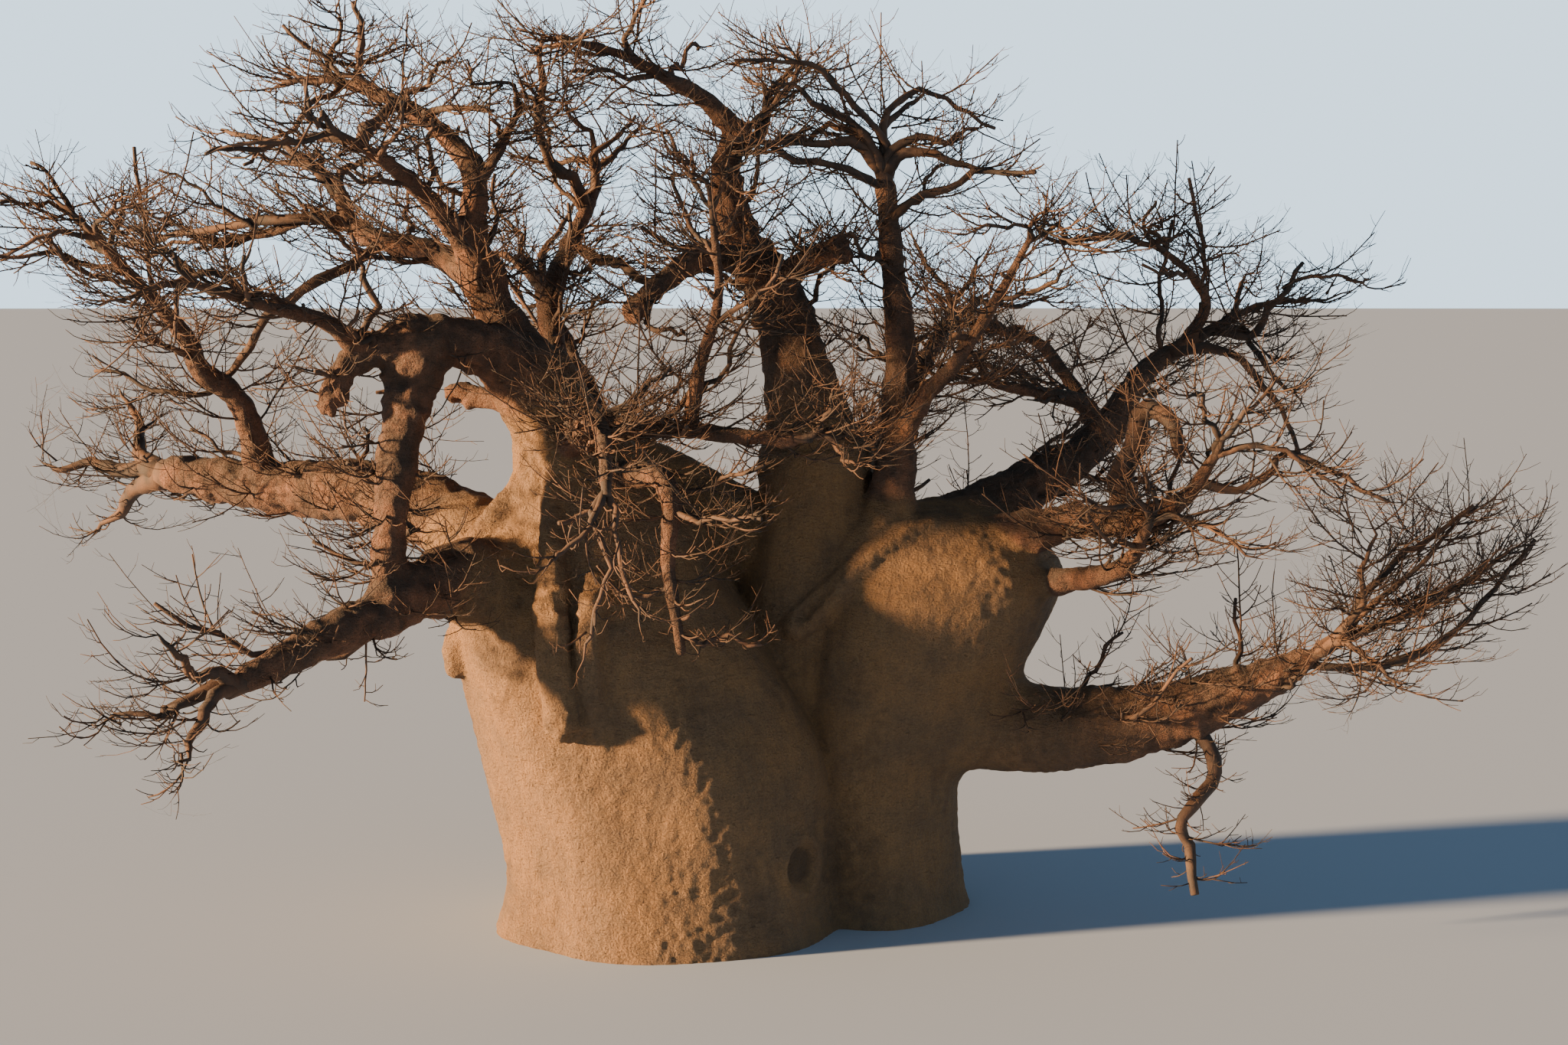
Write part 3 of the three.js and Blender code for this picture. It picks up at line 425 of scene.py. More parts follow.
FOLD_PATCH_EDGE = (-0.15, 0.35)
KNOT_SHARE = 0.2
KNOT_SPACING = 0.42
KNOT_REACH = 0.3
KNOT_PATCH_SIZE = 0.8
KNOT_PATCH_EDGE = (0, 0.3)

# How much of its unevenness thin wood is spared, and the share of the dimples that all wood has
# and that the trunk has on top of it.
THIN_SPARED = 0.6
THIN_FOLDS_SPARED = 0.7
DIMPLES_EVERYWHERE = 0.6
DIMPLES_ON_TRUNK = 0.4

# Burls: domes covered with lumps and warts. Each has its place, its reach and how far it stands
# out.
BURL_DOME = 0.3
BURL_LUMP_SIZE = 0.17
BURL_WART_SHARE = 0.5
BURL_WART_SIZE = 0.08
BURLS = [
    ((-2.05, -0.8, 5.25), 0.4, 0.09), ((-1.9, -1.7, 3.9), 0.45, 0.07),
    ((-1.45, -1.7, 3.95), 0.22, 0.07), ((-2.9, -0.7, 4.2), 0.5, 0.06),
    ((-1.75, -2.05, 2.6), 0.25, 0.07), ((0.2, 0.55, 7.6), 0.5, 0.08),
    ((-0.05, 0.5, 8.75), 0.35, 0.07), ((-3.7, -1.5, 6.55), 0.6, 0.05),
    ((-4.25, -1.8, 6.1), 0.25, 0.09), ((-1.1, -1.2, 6.95), 0.25, 0.11),
    ((1.25, -0.6, 7.7), 0.28, 0.13), ((-3.2, 0.36, 6.05), 0.25, 0.1),
    ((1.9, 0.0, 4.6), 0.4, 0.05), ((0.6, -2.55, 5.7), 0.2, 0.08),
]

# The scar of a lost limb, low on the trunk: a healed lip round a hollow with a level floor.
SCAR_PLACE = (0.77, -1.23, 0.86)
SCAR_WIDTH = 0.2
SCAR_HEIGHT = 0.31
SCAR_REACH = 1.0
SCAR_LIP = 0.06
SCAR_LIP_SPREAD = 0.25
SCAR_HOLLOW = 0.8
SCAR_HOLLOW_EDGE = 0.9
SCAR_HOLLOW_FLOOR = 0.5

# A line that rises more steeply than this is squared up to the x axis, not to the upright.
STEEP = 0.8


def rings_along(lines, radii, sides):
    """Rings square to each line, turned as little as possible from one point to the next."""
    ahead = np.concatenate([lines[:, 1:], lines[:, -1:]], axis=1)
    behind = np.concatenate([lines[:, :1], lines[:, :-1]], axis=1)
    along = ahead - behind
    along /= np.linalg.norm(along, axis=2, keepdims=True)
    steep = np.abs(along[:, 0, 2]) > STEEP
    across = np.where(steep[:, None], (1.0, 0, 0), (0, 0, 1.0))
    turns = 2 * np.pi * np.arange(sides) / sides
    rings = np.empty((*lines.shape[:2], sides, 3))
    for index in range(lines.shape[1]):
        heading = along[:, index]
        across = across - np.sum(across * heading, axis=1, keepdims=True) * heading
        across /= np.linalg.norm(across, axis=1, keepdims=True)
        beside = np.cross(heading, across)
        out = (np.cos(turns)[None, :, None] * across[:, None]
               + np.sin(turns)[None, :, None] * beside[:, None])
        rings[:, index] = lines[:, index, None] + radii[:, index, None, None] * out
    return rings


def closed_tubes(rings, tips):
    """Points and faces of tubes through the rings, each flat at its foot and closed at its tip."""
    count, length, sides = rings.shape[:3]
    size = length * sides + 1
    points = np.concatenate([rings.reshape(count, -1, 3), tips[:, None]], axis=1).reshape(-1, 3)
    side = np.arange(sides)
    following = (side + 1) % sides
    rows = sides * np.arange(length - 1)[:, None]
    quads = np.stack([rows + side, rows + following, rows + sides + following,
                      rows + sides + side], axis=-1).reshape(-1)
    last = sides * (length - 1)
    fans = np.stack([last + side, last + following, np.full(sides, size - 1)], axis=-1).reshape(-1)
    foot = side[::-1]
    one = np.concatenate([quads, fans, foot])
    starts = size * np.arange(count)[:, None]
    corners = (one[None] + starts).reshape(-1)
    sizes = np.concatenate([np.full((length - 1) * sides, 4), np.full(sides, 3), [sides]])
    return points, corners, np.tile(sizes, count)


def joined(parts):
    """Several sets of points and faces as one."""
    starts = np.cumsum([0] + [len(points) for points, _, _ in parts])
    return (np.concatenate([points for points, _, _ in parts]),
            np.concatenate([corners + start for (_, corners, _), start in zip(parts, starts)]),
            np.concatenate([sizes for _, _, sizes in parts]))


def new_piece(name, points, corners, sizes):
    """A smooth-shaded object from points and faces."""
    mesh = bpy.data.meshes.new(name)
    mesh.vertices.add(len(points))
    mesh.vertices.foreach_set("co", points.astype(np.float32).reshape(-1))
    mesh.loops.add(len(corners))
    mesh.loops.foreach_set("vertex_index", corners.astype(np.int32))
    mesh.polygons.add(len(sizes))
    mesh.polygons.foreach_set("loop_start", (np.cumsum(sizes) - sizes).astype(np.int32))
    mesh.update(calc_edges=True)
    mesh.shade_smooth()
    piece = bpy.data.objects.new(name, mesh)
    bpy.context.scene.collection.objects.link(piece)
    return piece


def rough_part(part):
    """One part of the wood as a plain closed tube."""
    if "flutes" in part:
        heights = part["levels"][:, 0]
        middle_x, middle_y, half_width, half_depth = bole_section(part, heights)
        turns = 2 * np.pi * np.arange(2 * ROUGH_SIDES) / (2 * ROUGH_SIDES)
        swell = 1 + part["flute_depth"] * np.cos(
            part["flutes"] * turns[None] + heights[:, None] / FLUTE_TWIST)
        rings = np.stack([middle_x[:, None] + half_width[:, None] * swell * np.cos(turns),
                          middle_y[:, None] + half_depth[:, None] * swell * np.sin(turns),
                          np.repeat(heights[:, None], len(turns), axis=1)], axis=-1)[None]
    else:
        rings = rings_along(part["line"][None], part["radii"][None], ROUGH_SIDES)
    return closed_tubes(rings, rings[:, -1].mean(axis=1))


rough = new_piece("rough_wood", *joined([rough_part(part) for part in wood]))
skin = rough.modifiers.new("skin", "REMESH")
skin.mode = "VOXEL"
skin.voxel_size = BARK_STEP
skinned = rough.evaluated_get(bpy.context.evaluated_depsgraph_get()).to_mesh()
points = np.empty(len(skinned.vertices) * 3)
skinned.vertices.foreach_get("co", points)
points = points.reshape(-1, 3)
quads = np.empty(len(skinned.loops), int)
skinned.loops.foreach_get("vertex_index", quads)
quads = quads.reshape(-1, 4)
bpy.data.objects.remove(rough)
edges = np.concatenate([quads[:, [0, 1]], quads[:, [1, 2]], quads[:, [2, 3]], quads[:, [3, 0]]])
neighbours = np.bincount(edges[:, 0], minlength=len(points))


def evened(values):
    """Each value moved halfway to the mean of its neighbours'."""
    return (values + np.bincount(edges[:, 0], values[edges[:, 1]], len(values)) / neighbours) / 2


def outward(points):
    """The direction straight out of the skin at each point."""
    across = np.cross(points[quads[:, 2]] - points[quads[:, 0]],
                      points[quads[:, 3]] - points[quads[:, 1]])
    total = np.stack([np.bincount(quads.reshape(-1), np.repeat(across[:, axis], 4), len(points))
                      for axis in range(3)], axis=1)
    return total / np.linalg.norm(total, axis=1, keepdims=True)


for _ in range(SETTLE_ROUNDS):
    points = np.stack([evened(points[:, axis]) for axis in range(3)], axis=1)
    gap, owner, girth = wood_gap(points)
    points -= outward(points) * np.clip(gap, -LONGEST_MOVE, LONGEST_MOVE)[:, None]
gap, owner, girth = wood_gap(points)
for _ in range(GIRTH_ROUNDS):
    girth = evened(girth)


def lumps(points, size, shift=0):
    """Soft lumps of the given size, from -1 in a dip to 1 on top. A shift gives other lumps."""
    return np.array([noise.noise(place) for place in ((points + shift) / size).tolist()])


def eased(values, low, high):
    """0 up to the low value, 1 from the high one, and a soft rise between."""
    share = np.clip((values - low) / (high - low), 0, 1)
    return share * share * (3 - 2 * share)


stout = eased(girth, *TRUNK_GIRTH)
thin = 1 - eased(girth, *LIMB_GIRTH)
limb_size = np.minimum(girth, TRUNK_GIRTH[0]) * (1 - stout)
wavering = points + FOLD_WAVER * lumps(points, FOLD_WAVER_SIZE)[:, None]
folds = 1 - np.abs(lumps(wavering, FOLD_SIZE))
folded = eased(lumps(points, FOLD_PATCH_SIZE, shift=7), *FOLD_PATCH_EDGE)
knots = np.array([noise.voronoi(place)[0][0] for place in (points / KNOT_SPACING).tolist()])
knotted = eased(lumps(points, KNOT_PATCH_SIZE, shift=-5), *KNOT_PATCH_EDGE)
relief = SWELL_HEIGHT * stout * lumps(points, SWELL_SIZE)
relief += (DIMPLE_HEIGHT * (DIMPLES_EVERYWHERE + DIMPLES_ON_TRUNK * stout)
           * lumps(points, DIMPLE_SIZE))
relief += PIMPLE_HEIGHT * (1 - THIN_SPARED * thin) * lumps(points, PIMPLE_SIZE)
relief -= CREASE_DEPTH * (1 - THIN_SPARED * thin) * np.abs(lumps(points, CREASE_SIZE, shift=9))
relief += limb_size * (LIMB_LUMP_SHARE * lumps(points, LIMB_LUMP_SIZE)
                       + LIMB_BUMP_SHARE * lumps(points, LIMB_BUMP_SIZE, shift=3))
relief += ((FOLD_HEIGHT + LIMB_FOLD_EXTRA * (1 - stout)) * (1 - THIN_FOLDS_SPARED * thin)
           * folded * (folds - FOLD_LEVEL))
relief += KNOT_SHARE * limb_size * eased(-knots, -KNOT_REACH, 0) * knotted
knobbly = (BURL_DOME + lumps(points, BURL_LUMP_SIZE)
           + BURL_WART_SHARE * lumps(points, BURL_WART_SIZE))
for place, spread, rise in BURLS:
    near = np.exp(-np.sum(((points - place) / spread) ** 2, axis=1))
    relief += rise * near * knobbly
ring = np.hypot((points[:, 0] - SCAR_PLACE[0]) / SCAR_WIDTH,
                (points[:, 2] - SCAR_PLACE[2]) / SCAR_HEIGHT)
ring[np.linalg.norm(points - SCAR_PLACE, axis=1) > SCAR_REACH] = np.inf
relief += SCAR_LIP * (np.exp(-((ring - 1) / SCAR_LIP_SPREAD) ** 2)
                      - SCAR_HOLLOW * eased(-ring, -SCAR_HOLLOW_EDGE, -SCAR_HOLLOW_FLOOR))
points += outward(points) * relief[:, None]
out = outward(points)

# The relief as the bark's colour reads it to paint shade into the creases, where 1 is this many
# metres.
RAISED_UNIT = 0.02
raised = relief / RAISED_UNIT

# Below the ground nothing is kept, and the rim of the skin is drawn down to it.
quads = quads[(points[quads][:, :, 2] > 0).any(axis=1)]
points[:, 2] = np.maximum(points[:, 2], 0)


def rims_of(quads):
    """The loops of points along the open edges of some faces."""
    size = quads.max() + 1
    sides = np.stack([quads, np.roll(quads, -1, axis=1)], axis=2).reshape(-1, 2)
    open_sides = sides[~np.isin(sides[:, 0] * size + sides[:, 1], sides[:, 1] * size + sides[:, 0])]
    following = {}
    for start, end in open_sides.tolist():
        following.setdefault(start, []).append(end)
    rims = []
    while following:
        rim = [next(iter(following))]
        while rim[-1] in following:
            ends = following[rim[-1]]
            rim.append(ends.pop())
            if not ends:
                del following[rim[-2]]
            if rim[-1] == rim[0]:
                rim.pop()
                break
        rims.append(rim)
    return rims


def bark_piece(name, own):
    """The part of the skin that covers one limb, closed where it meets its neighbours."""
    rims = rims_of(own)
    middles = [points[rim].mean(axis=0) for rim in rims]
    fans = []
    for index, rim in enumerate(rims):
        for start, end in zip(rim, rim[1:] + rim[:1]):
            fans.append((end, start, len(points) + index))
    corners = np.concatenate([own.reshape(-1), np.array(fans, int).reshape(-1)])
    used, corners = np.unique(corners, return_inverse=True)
    places = np.concatenate([points, np.array(middles).reshape(-1, 3)])[used]
    sizes = np.concatenate([np.full(len(own), 4), np.full(len(fans), 3)])
    piece = new_piece(name, places, corners, sizes)
    normals = np.concatenate([out, np.tile((0, 0, 1.0), (len(rims), 1))])[used]
    piece.data.normals_split_custom_set_from_vertices(normals)
    for attribute, values in (("stoutness", stout), ("raised", raised)):
        layer = piece.data.attributes.new(attribute, "FLOAT", "POINT")
        layer.data.foreach_set("value", np.concatenate([values, np.zeros(len(rims))])[used])
    return piece


def feed(graph, socket, value):
    """Gives a socket a value, or links it to the socket that feeds it."""
    if isinstance(value, bpy.types.NodeSocket):
        graph.links.new(value, socket)
    else:
        socket.default_value = value


def add_node(graph, kind, inputs, **settings):
    """A node with its settings and inputs, each input a value or the socket that feeds it."""
    node = graph.nodes.new(kind)
    for name, value in settings.items():
        setattr(node, name, value)
    for name, value in inputs.items():
        feed(graph, node.inputs[name], value)
    return node


def mixed(graph, share, first, second):
    """A colour between two others."""
    node = add_node(graph, "ShaderNodeMix", {}, data_type="RGBA")
    share_socket, first_socket, second_socket = (node.inputs[place] for place in (0, 6, 7))
    feed(graph, share_socket, share)
    feed(graph, first_socket, first)
    feed(graph, second_socket, second)
    return node.outputs[2]


def noise_at(graph, place, per_metre, detail=4, roughness=0.6):
    """A noise with the given number of lumps a metre."""
    return add_node(graph, "ShaderNodeTexNoise", {
        "Vector": place, "Scale": per_metre, "Detail": detail, "Roughness": roughness,
    }).outputs["Fac"]


def in_range(graph, value, low, high, least=0.0, most=1.0):
    """A value spread from one range over another."""
    return add_node(graph, "ShaderNodeMapRange", {
        "Value": value, "From Min": low, "From Max": high, "To Min": least, "To Max": most,
    }).outputs["Result"]


def marks_at(graph, place, per_metre, low, high):
    """Marks that fade in between a low and a high level of a noise."""
    return in_range(graph, noise_at(graph, place, per_metre), low, high)


def stained_or_shaded(graph, skin, marks, share, stain, low=0, high=1):
    """A skin with a stain or painted shade on it, up to the given share, as the marks rise from low
    to high.
    """
    return mixed(graph, in_range(graph, marks, low, high, 0, share), skin, stain)


TRUNK_PALE = (0.37, 0.212, 0.094, 1)
TRUNK_GREY = (0.2, 0.136, 0.085, 1)
LIMB_COPPER = (0.33, 0.152, 0.085, 1)
LIMB_BROWN = (0.125, 0.07, 0.046, 1)
# Dark for the streaks on the limbs, and for the painted shade on their upper sides.
STREAK_AND_SHADE_DARK = (0.058, 0.047, 0.039, 1)
# Dark for the grain, and for the painted shade in the creases.
GRAIN_AND_CREASE_SHADE = (0.038, 0.028, 0.022, 1)

# The marks on the bark, by how many there are to a metre and where in their noise they fade in.
BLOTCHES = dict(per_metre=1.6, low=0.38, high=0.64)
FLECKS = dict(per_metre=8, low=0.45, high=0.62)
STREAKS = dict(per_metre=9, low=0.4, high=0.7)
STREAK_SQUEEZE = (1, 1, 0.25)
GRAIN = dict(per_metre=45, low=0.35, high=0.65)

# How much of the skin's colour each stain, and each painted shade, takes at most.
GREY_ON_TRUNK = 0.65
STREAKS_ON_TRUNK = 0.3
FLECKS_ON_LIMBS = 0.5
STREAKS_ON_LIMBS = 0.5
# Painted shade: the limbs' upper sides are darkened up to this share as their upward facing rises
# over this range.
PAINTED_SHADE_ON_LIMB_TOPS = 0.7
PAINTED_SHADE_FACING = (0.0, 0.8)
GRAIN_ON_BOTH = 0.35
# Painted shade in the creases: up to this share, as the relief sinks over these levels.
PAINTED_SHADE_IN_CREASES = 0.6
CREASE_SHADE_LEVELS = (-0.4, -2.2)

# How rough skin and grain are, and the wrinkles and pocks that are too fine for the mesh.
SKIN_TO_GRAIN = (0.95, 0.78)
WRINKLES_PER_METRE = 8
WRINKLE_SQUEEZE = (1, 1, 4)
WRINKLE_DETAIL = 6
WRINKLE_HEIGHT = 0.08
POCKS_PER_METRE = 34
POCK_HEIGHT = 0.06

bark = bpy.data.materials.new("bark")
bark.use_nodes = True
graph = bark.node_tree
surface = graph.nodes["Principled BSDF"]
place = add_node(graph, "ShaderNodeTexCoord", {}).outputs["Object"]
upright = add_node(graph, "ShaderNodeMapping", {
    "Vector": place, "Scale": STREAK_SQUEEZE}).outputs["Vector"]
level = add_node(graph, "ShaderNodeMapping", {
    "Vector": place, "Scale": WRINKLE_SQUEEZE}).outputs["Vector"]
stoutness = add_node(graph, "ShaderNodeAttribute", {}, attribute_name="stoutness").outputs["Fac"]
rise = add_node(graph, "ShaderNodeAttribute", {}, attribute_name="raised").outputs["Fac"]
facing = add_node(graph, "ShaderNodeNewGeometry", {}).outputs["Normal"]
upward = add_node(graph, "ShaderNodeSeparateXYZ", {"Vector": facing}).outputs["Z"]
blotches = marks_at(graph, place, **BLOTCHES)
flecks = marks_at(graph, place, **FLECKS)
streaks = marks_at(graph, upright, **STREAKS)
grain = marks_at(graph, place, **GRAIN)
trunk_skin = stained_or_shaded(graph, TRUNK_PALE, blotches, GREY_ON_TRUNK, TRUNK_GREY)
trunk_skin = stained_or_shaded(graph, trunk_skin, streaks, STREAKS_ON_TRUNK, LIMB_BROWN)
limb_skin = mixed(graph, blotches, LIMB_COPPER, LIMB_BROWN)
limb_skin = stained_or_shaded(graph, limb_skin, flecks, FLECKS_ON_LIMBS, LIMB_BROWN)
limb_skin = stained_or_shaded(graph, limb_skin, streaks, STREAKS_ON_LIMBS, STREAK_AND_SHADE_DARK)
# Painted shade on the limbs' upper sides, darker the more they face up.
limb_skin = stained_or_shaded(graph, limb_skin, upward, PAINTED_SHADE_ON_LIMB_TOPS, STREAK_AND_SHADE_DARK, *PAINTED_SHADE_FACING)
skin_tone = mixed(graph, stoutness, limb_skin, trunk_skin)
skin_tone = stained_or_shaded(graph, skin_tone, grain, GRAIN_ON_BOTH, GRAIN_AND_CREASE_SHADE)
# Painted shade in the creases, darker the deeper the relief sinks.
skin_tone = stained_or_shaded(graph, skin_tone, rise, PAINTED_SHADE_IN_CREASES, GRAIN_AND_CREASE_SHADE, *CREASE_SHADE_LEVELS)
feed(graph, surface.inputs["Base Color"], skin_tone)
feed(graph, surface.inputs["Roughness"], in_range(graph, grain, 0, 1, *SKIN_TO_GRAIN))
wrinkles = add_node(graph, "ShaderNodeBump", {
    "Height": noise_at(graph, level, WRINKLES_PER_METRE, WRINKLE_DETAIL), "Strength": 1.0,
    "Distance": WRINKLE_HEIGHT})
pocks = add_node(graph, "ShaderNodeBump", {
    "Height": noise_at(graph, place, POCKS_PER_METRE), "Strength": 1.0,
    "Distance": POCK_HEIGHT, "Normal": wrinkles.outputs["Normal"]})
feed(graph, surface.inputs["Normal"], pocks.outputs["Normal"])

# A face belongs to the wood that most of its corners lie on.
corner_owners = np.sort(owner[quads], axis=1)
face_owner = np.where(corner_owners[:, 1] == corner_owners[:, 2], corner_owners[:, 1],
                      np.where(corner_owners[:, 2] == corner_owners[:, 3], corner_owners[:, 2],
                               corner_owners[:, 0]))
trunk = bark_piece("trunk_bark", quads[face_owner == TRUNK_NUMBER])
trunk.data.materials.append(bark)
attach(trunk, "root")
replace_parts(trunk, "trunk")
for owner_number, name in enumerate(bough_names, start=TRUNK_NUMBER + 1):
    limb = bark_piece(f"{name}_bark", quads[face_owner == owner_number])
    limb.data.materials.append(bark)
    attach(limb, "root")
    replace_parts(limb, f"bough_{name}")

# The masses of twigs
# Thin bare wood, each mass grown from one stem on the tip of its bough: a few leaders bend out
# to its ends, side twigs leave them at wide angles and curl upward, and both carry branchlets
# and short spurs.
CLEARANCE = 0.0003
STEM_LENGTH = 0.26
STEM_SHARE = 0.92
STEM_TAPER = 0.8
LEADER_FOOT = 0.6
LEADER_SHARE = 0.74
LEADER_TIP = 0.014
LEADER_TAPER = 0.8
LEADER_STEPS = 3
LEADER_PUSH = 0.38
LEADER_PULL = 0.3
LEADER_SWAY = 0.1
FIRST_TWIG = 0.22
TWIGGED_STRETCH = 0.7
SIDE_TWIG_SPACING = 0.78
SIDE_TWIG_LENGTH = 0.82
SIDE_TWIG_RADIUS = 0.017
LEAST_TWIG_LENGTH = 0.7
TWIG_LENGTH_SPREAD = 0.5
LEAST_TWIG_ANGLE = 0.75
TWIG_ANGLE_SPREAD = 0.4
TWIG_CURL = 0.8
LEAST_TWIG_RISE = 0.2
TWIG_RISE_SPREAD = 0.6
TWIG_SHARE = 0.8
TWIG_MIDDLE_SHARE = 0.7
GOLDEN_ANGLE = 2.39996
FORK_LENGTH = 0.43
FORK_RADIUS = 0.009
FORK_SHARE = 0.6
LEAST_FORK_LENGTH = 0.8
FORK_LENGTH_SPREAD = 0.4
FIRST_SEED = 101
TWIG_REACH = 0.7
SPACE_FULLNESS = 1.5
PASSING_GAP = 0.025
NEARLY_ALIKE = 1e-6

# How long a twig is for its kind at the root of what carries it, and how much shorter at the tip.
LENGTH_AT_ROOT = 1.15
LENGTH_LOST = 0.55

# The finer wood: how many to a metre of what carries them, how long and thick they are, in how
# many points each is laid out, and how far along its carrier the first one stands.
BRANCHLET = dict(per_metre=3.0, length=0.74, thickness=0.0125, count=6)
SPUR = dict(per_metre=7.2, length=0.36, thickness=0.0084, count=4)
TIP = dict(per_metre=3.2, length=0.18, thickness=0.0068, count=3, first=0.35)
LAST_TWIG = 0.98
TWIG_SLOT = (0.1, 0.9)
TURN_WAVER = 0.35
ANGLE_RANGE = (-0.6, 1)
LENGTH_RANGE = (0.5, 1.4)
ROOT_DEPTH = 0.75
TWIG_BLUNTNESS = 0.62
BLUNT_END = 0.006
CURL_ASIDE = 0.7
CURL_RISE = 0.85
SAG = 0.07
FLATNESS = 0.42
CROOK = 0.007
LIMB_CROOK = 0.012
ELBOWS = 5
ELBOW_BEND = 0.05
SWELLING = (0.88, 1.14)
GROUND_ROOM = 0.1
WOOD_ROOM = 0.01

# In how many points and with how many sides each kind of wood is made.
CURVE_POINTS = 24
STEM_POINTS = 4
STEM_SIDES = 9
LIMB_POINTS = 16
LIMB_SIDES = 7
TWIG_POINTS = 8
BRANCHLET_SIDES = 4
SPUR_SIDES = 3

# The masses that hang, and those that are fuller or thinner of twigs than the rest.
HANG = {"front_droop": 0.9, "bar_spire": 0.1, "low_lower": 0.2}
FULLNESS = {"left_inner": 0.4, "left_back_low": 0.8, "right_mast": 0.8, "front_droop": 0.6,
            "ground_limb": 1.4}

# The masses by the bough that carries them, and the places where their leaders end.
MASSES = {
    "left_crest": [(-4.3, 0, 10.55), (-5.5, 0.8, 9.55), (-3.7, 1.3, 10.1)],
    "left_tuft": [(-2.05, -1.3, 9.4), (-3, -1.8, 9.6), (-1.75, -1.9, 8.9)],
    "left_inner": [(-5.2, -3.6, 8.5), (-4.1, -4.2, 8.9), (-4.5, -2.9, 9.5)],
    "left_back": [(-6.4, 3, 9), (-5.7, 4.2, 8.95), (-4.3, 3.6, 9.05)],
    "left_back_low": [(-8.7, 4.2, 7.7), (-7.7, 4.7, 8.3), (-7.9, 2.9, 8.2)],
    "low_riser": [(-8.45, -0.9, 7.5), (-7.85, -0.3, 8.45), (-6.3, -1.2, 8.25)],
    "low_upper": [(-9, 3, 5.15), (-8.5, 3.5, 4), (-8.1, 3.6, 6)],
    "low_lower": [(-6.3, -3.9, 2.9), (-5.5, -4.4, 4), (-5.3, -4.6, 2.6)],
    "arch_spur": [(-6.3, -3.9, 7.1), (-5.2, -4.5, 6.6), (-5.9, -3.5, 7.9)],
    "neck_limb": [(-2.3, 1.5, 9.8), (-1.1, 2.4, 9.35), (-2.9, 2.8, 8.9)],
    "front_bar": [(1.5, -3.4, 5.45), (1.1, -3.3, 6.3), (1.6, -2.6, 6.1)],
    "bar_spire": [(-0.7, -2.8, 8.8), (0.25, -2.9, 8.6)],
    "front_droop": [(-1.4, -4.4, 3.4), (-0.75, -4.9, 4), (-1.8, -4.8, 4.45)],
    "centre_crest": [(-2.15, -1.3, 9.85), (-1.35, -1.9, 9.85), (-2.25, -0.2, 9.8)],
    "centre_mast": [(0.9, 2.9, 10.2), (-0.4, 2.9, 9.95), (1.5, 2.5, 9.65)],
    "right_mast": [(-0.15, -0.5, 8.85), (0.25, 0.15, 9.65), (2.25, 1.2, 9.75), (2.95, 0.1, 9.1),
                   (3.45, -0.7, 8.45)],
    "mast_side": [(2.25, -2.5, 7.8), (3.3, -2.4, 8.05), (4, -2.5, 7.5)],
    "right_hook": [(3.7, 0.8, 7.9), (5.05, 0.9, 8.15), (6, 0.4, 7.55)],
    "right_head": [(7.6, 1.7, 7.3), (6.9, 1.2, 5.7), (6.6, 2.9, 7.5)],
    "right_rise": [(2.3, 4.2, 7.5), (3.5, 4.5, 7.7), (2.2, 3.5, 6.7)],
    "right_sweep": [(6.7, -2.8, 5.1), (5.7, -3, 6.5), (4.6, -3.1, 6.3)],
    "shoulder_stub": [(5.6, -2.9, 4.5), (4.2, -3.2, 5.5), (3.5, -3.1, 5)],
    "ground_limb": [(8, -1.7, 5), (9.2, -0.9, 4.5), (6.6, -2.3, 5), (7.1, -2.5, 3)],
    "rear_left": [(-3.4, 5.8, 8.5), (-2, 5.6, 8.9), (-4.3, 5.3, 7.7)],
    "rear_right": [(3.5, 6.2, 7.9), (2.2, 6, 8.2), (4.6, 5.7, 7.2)],
}

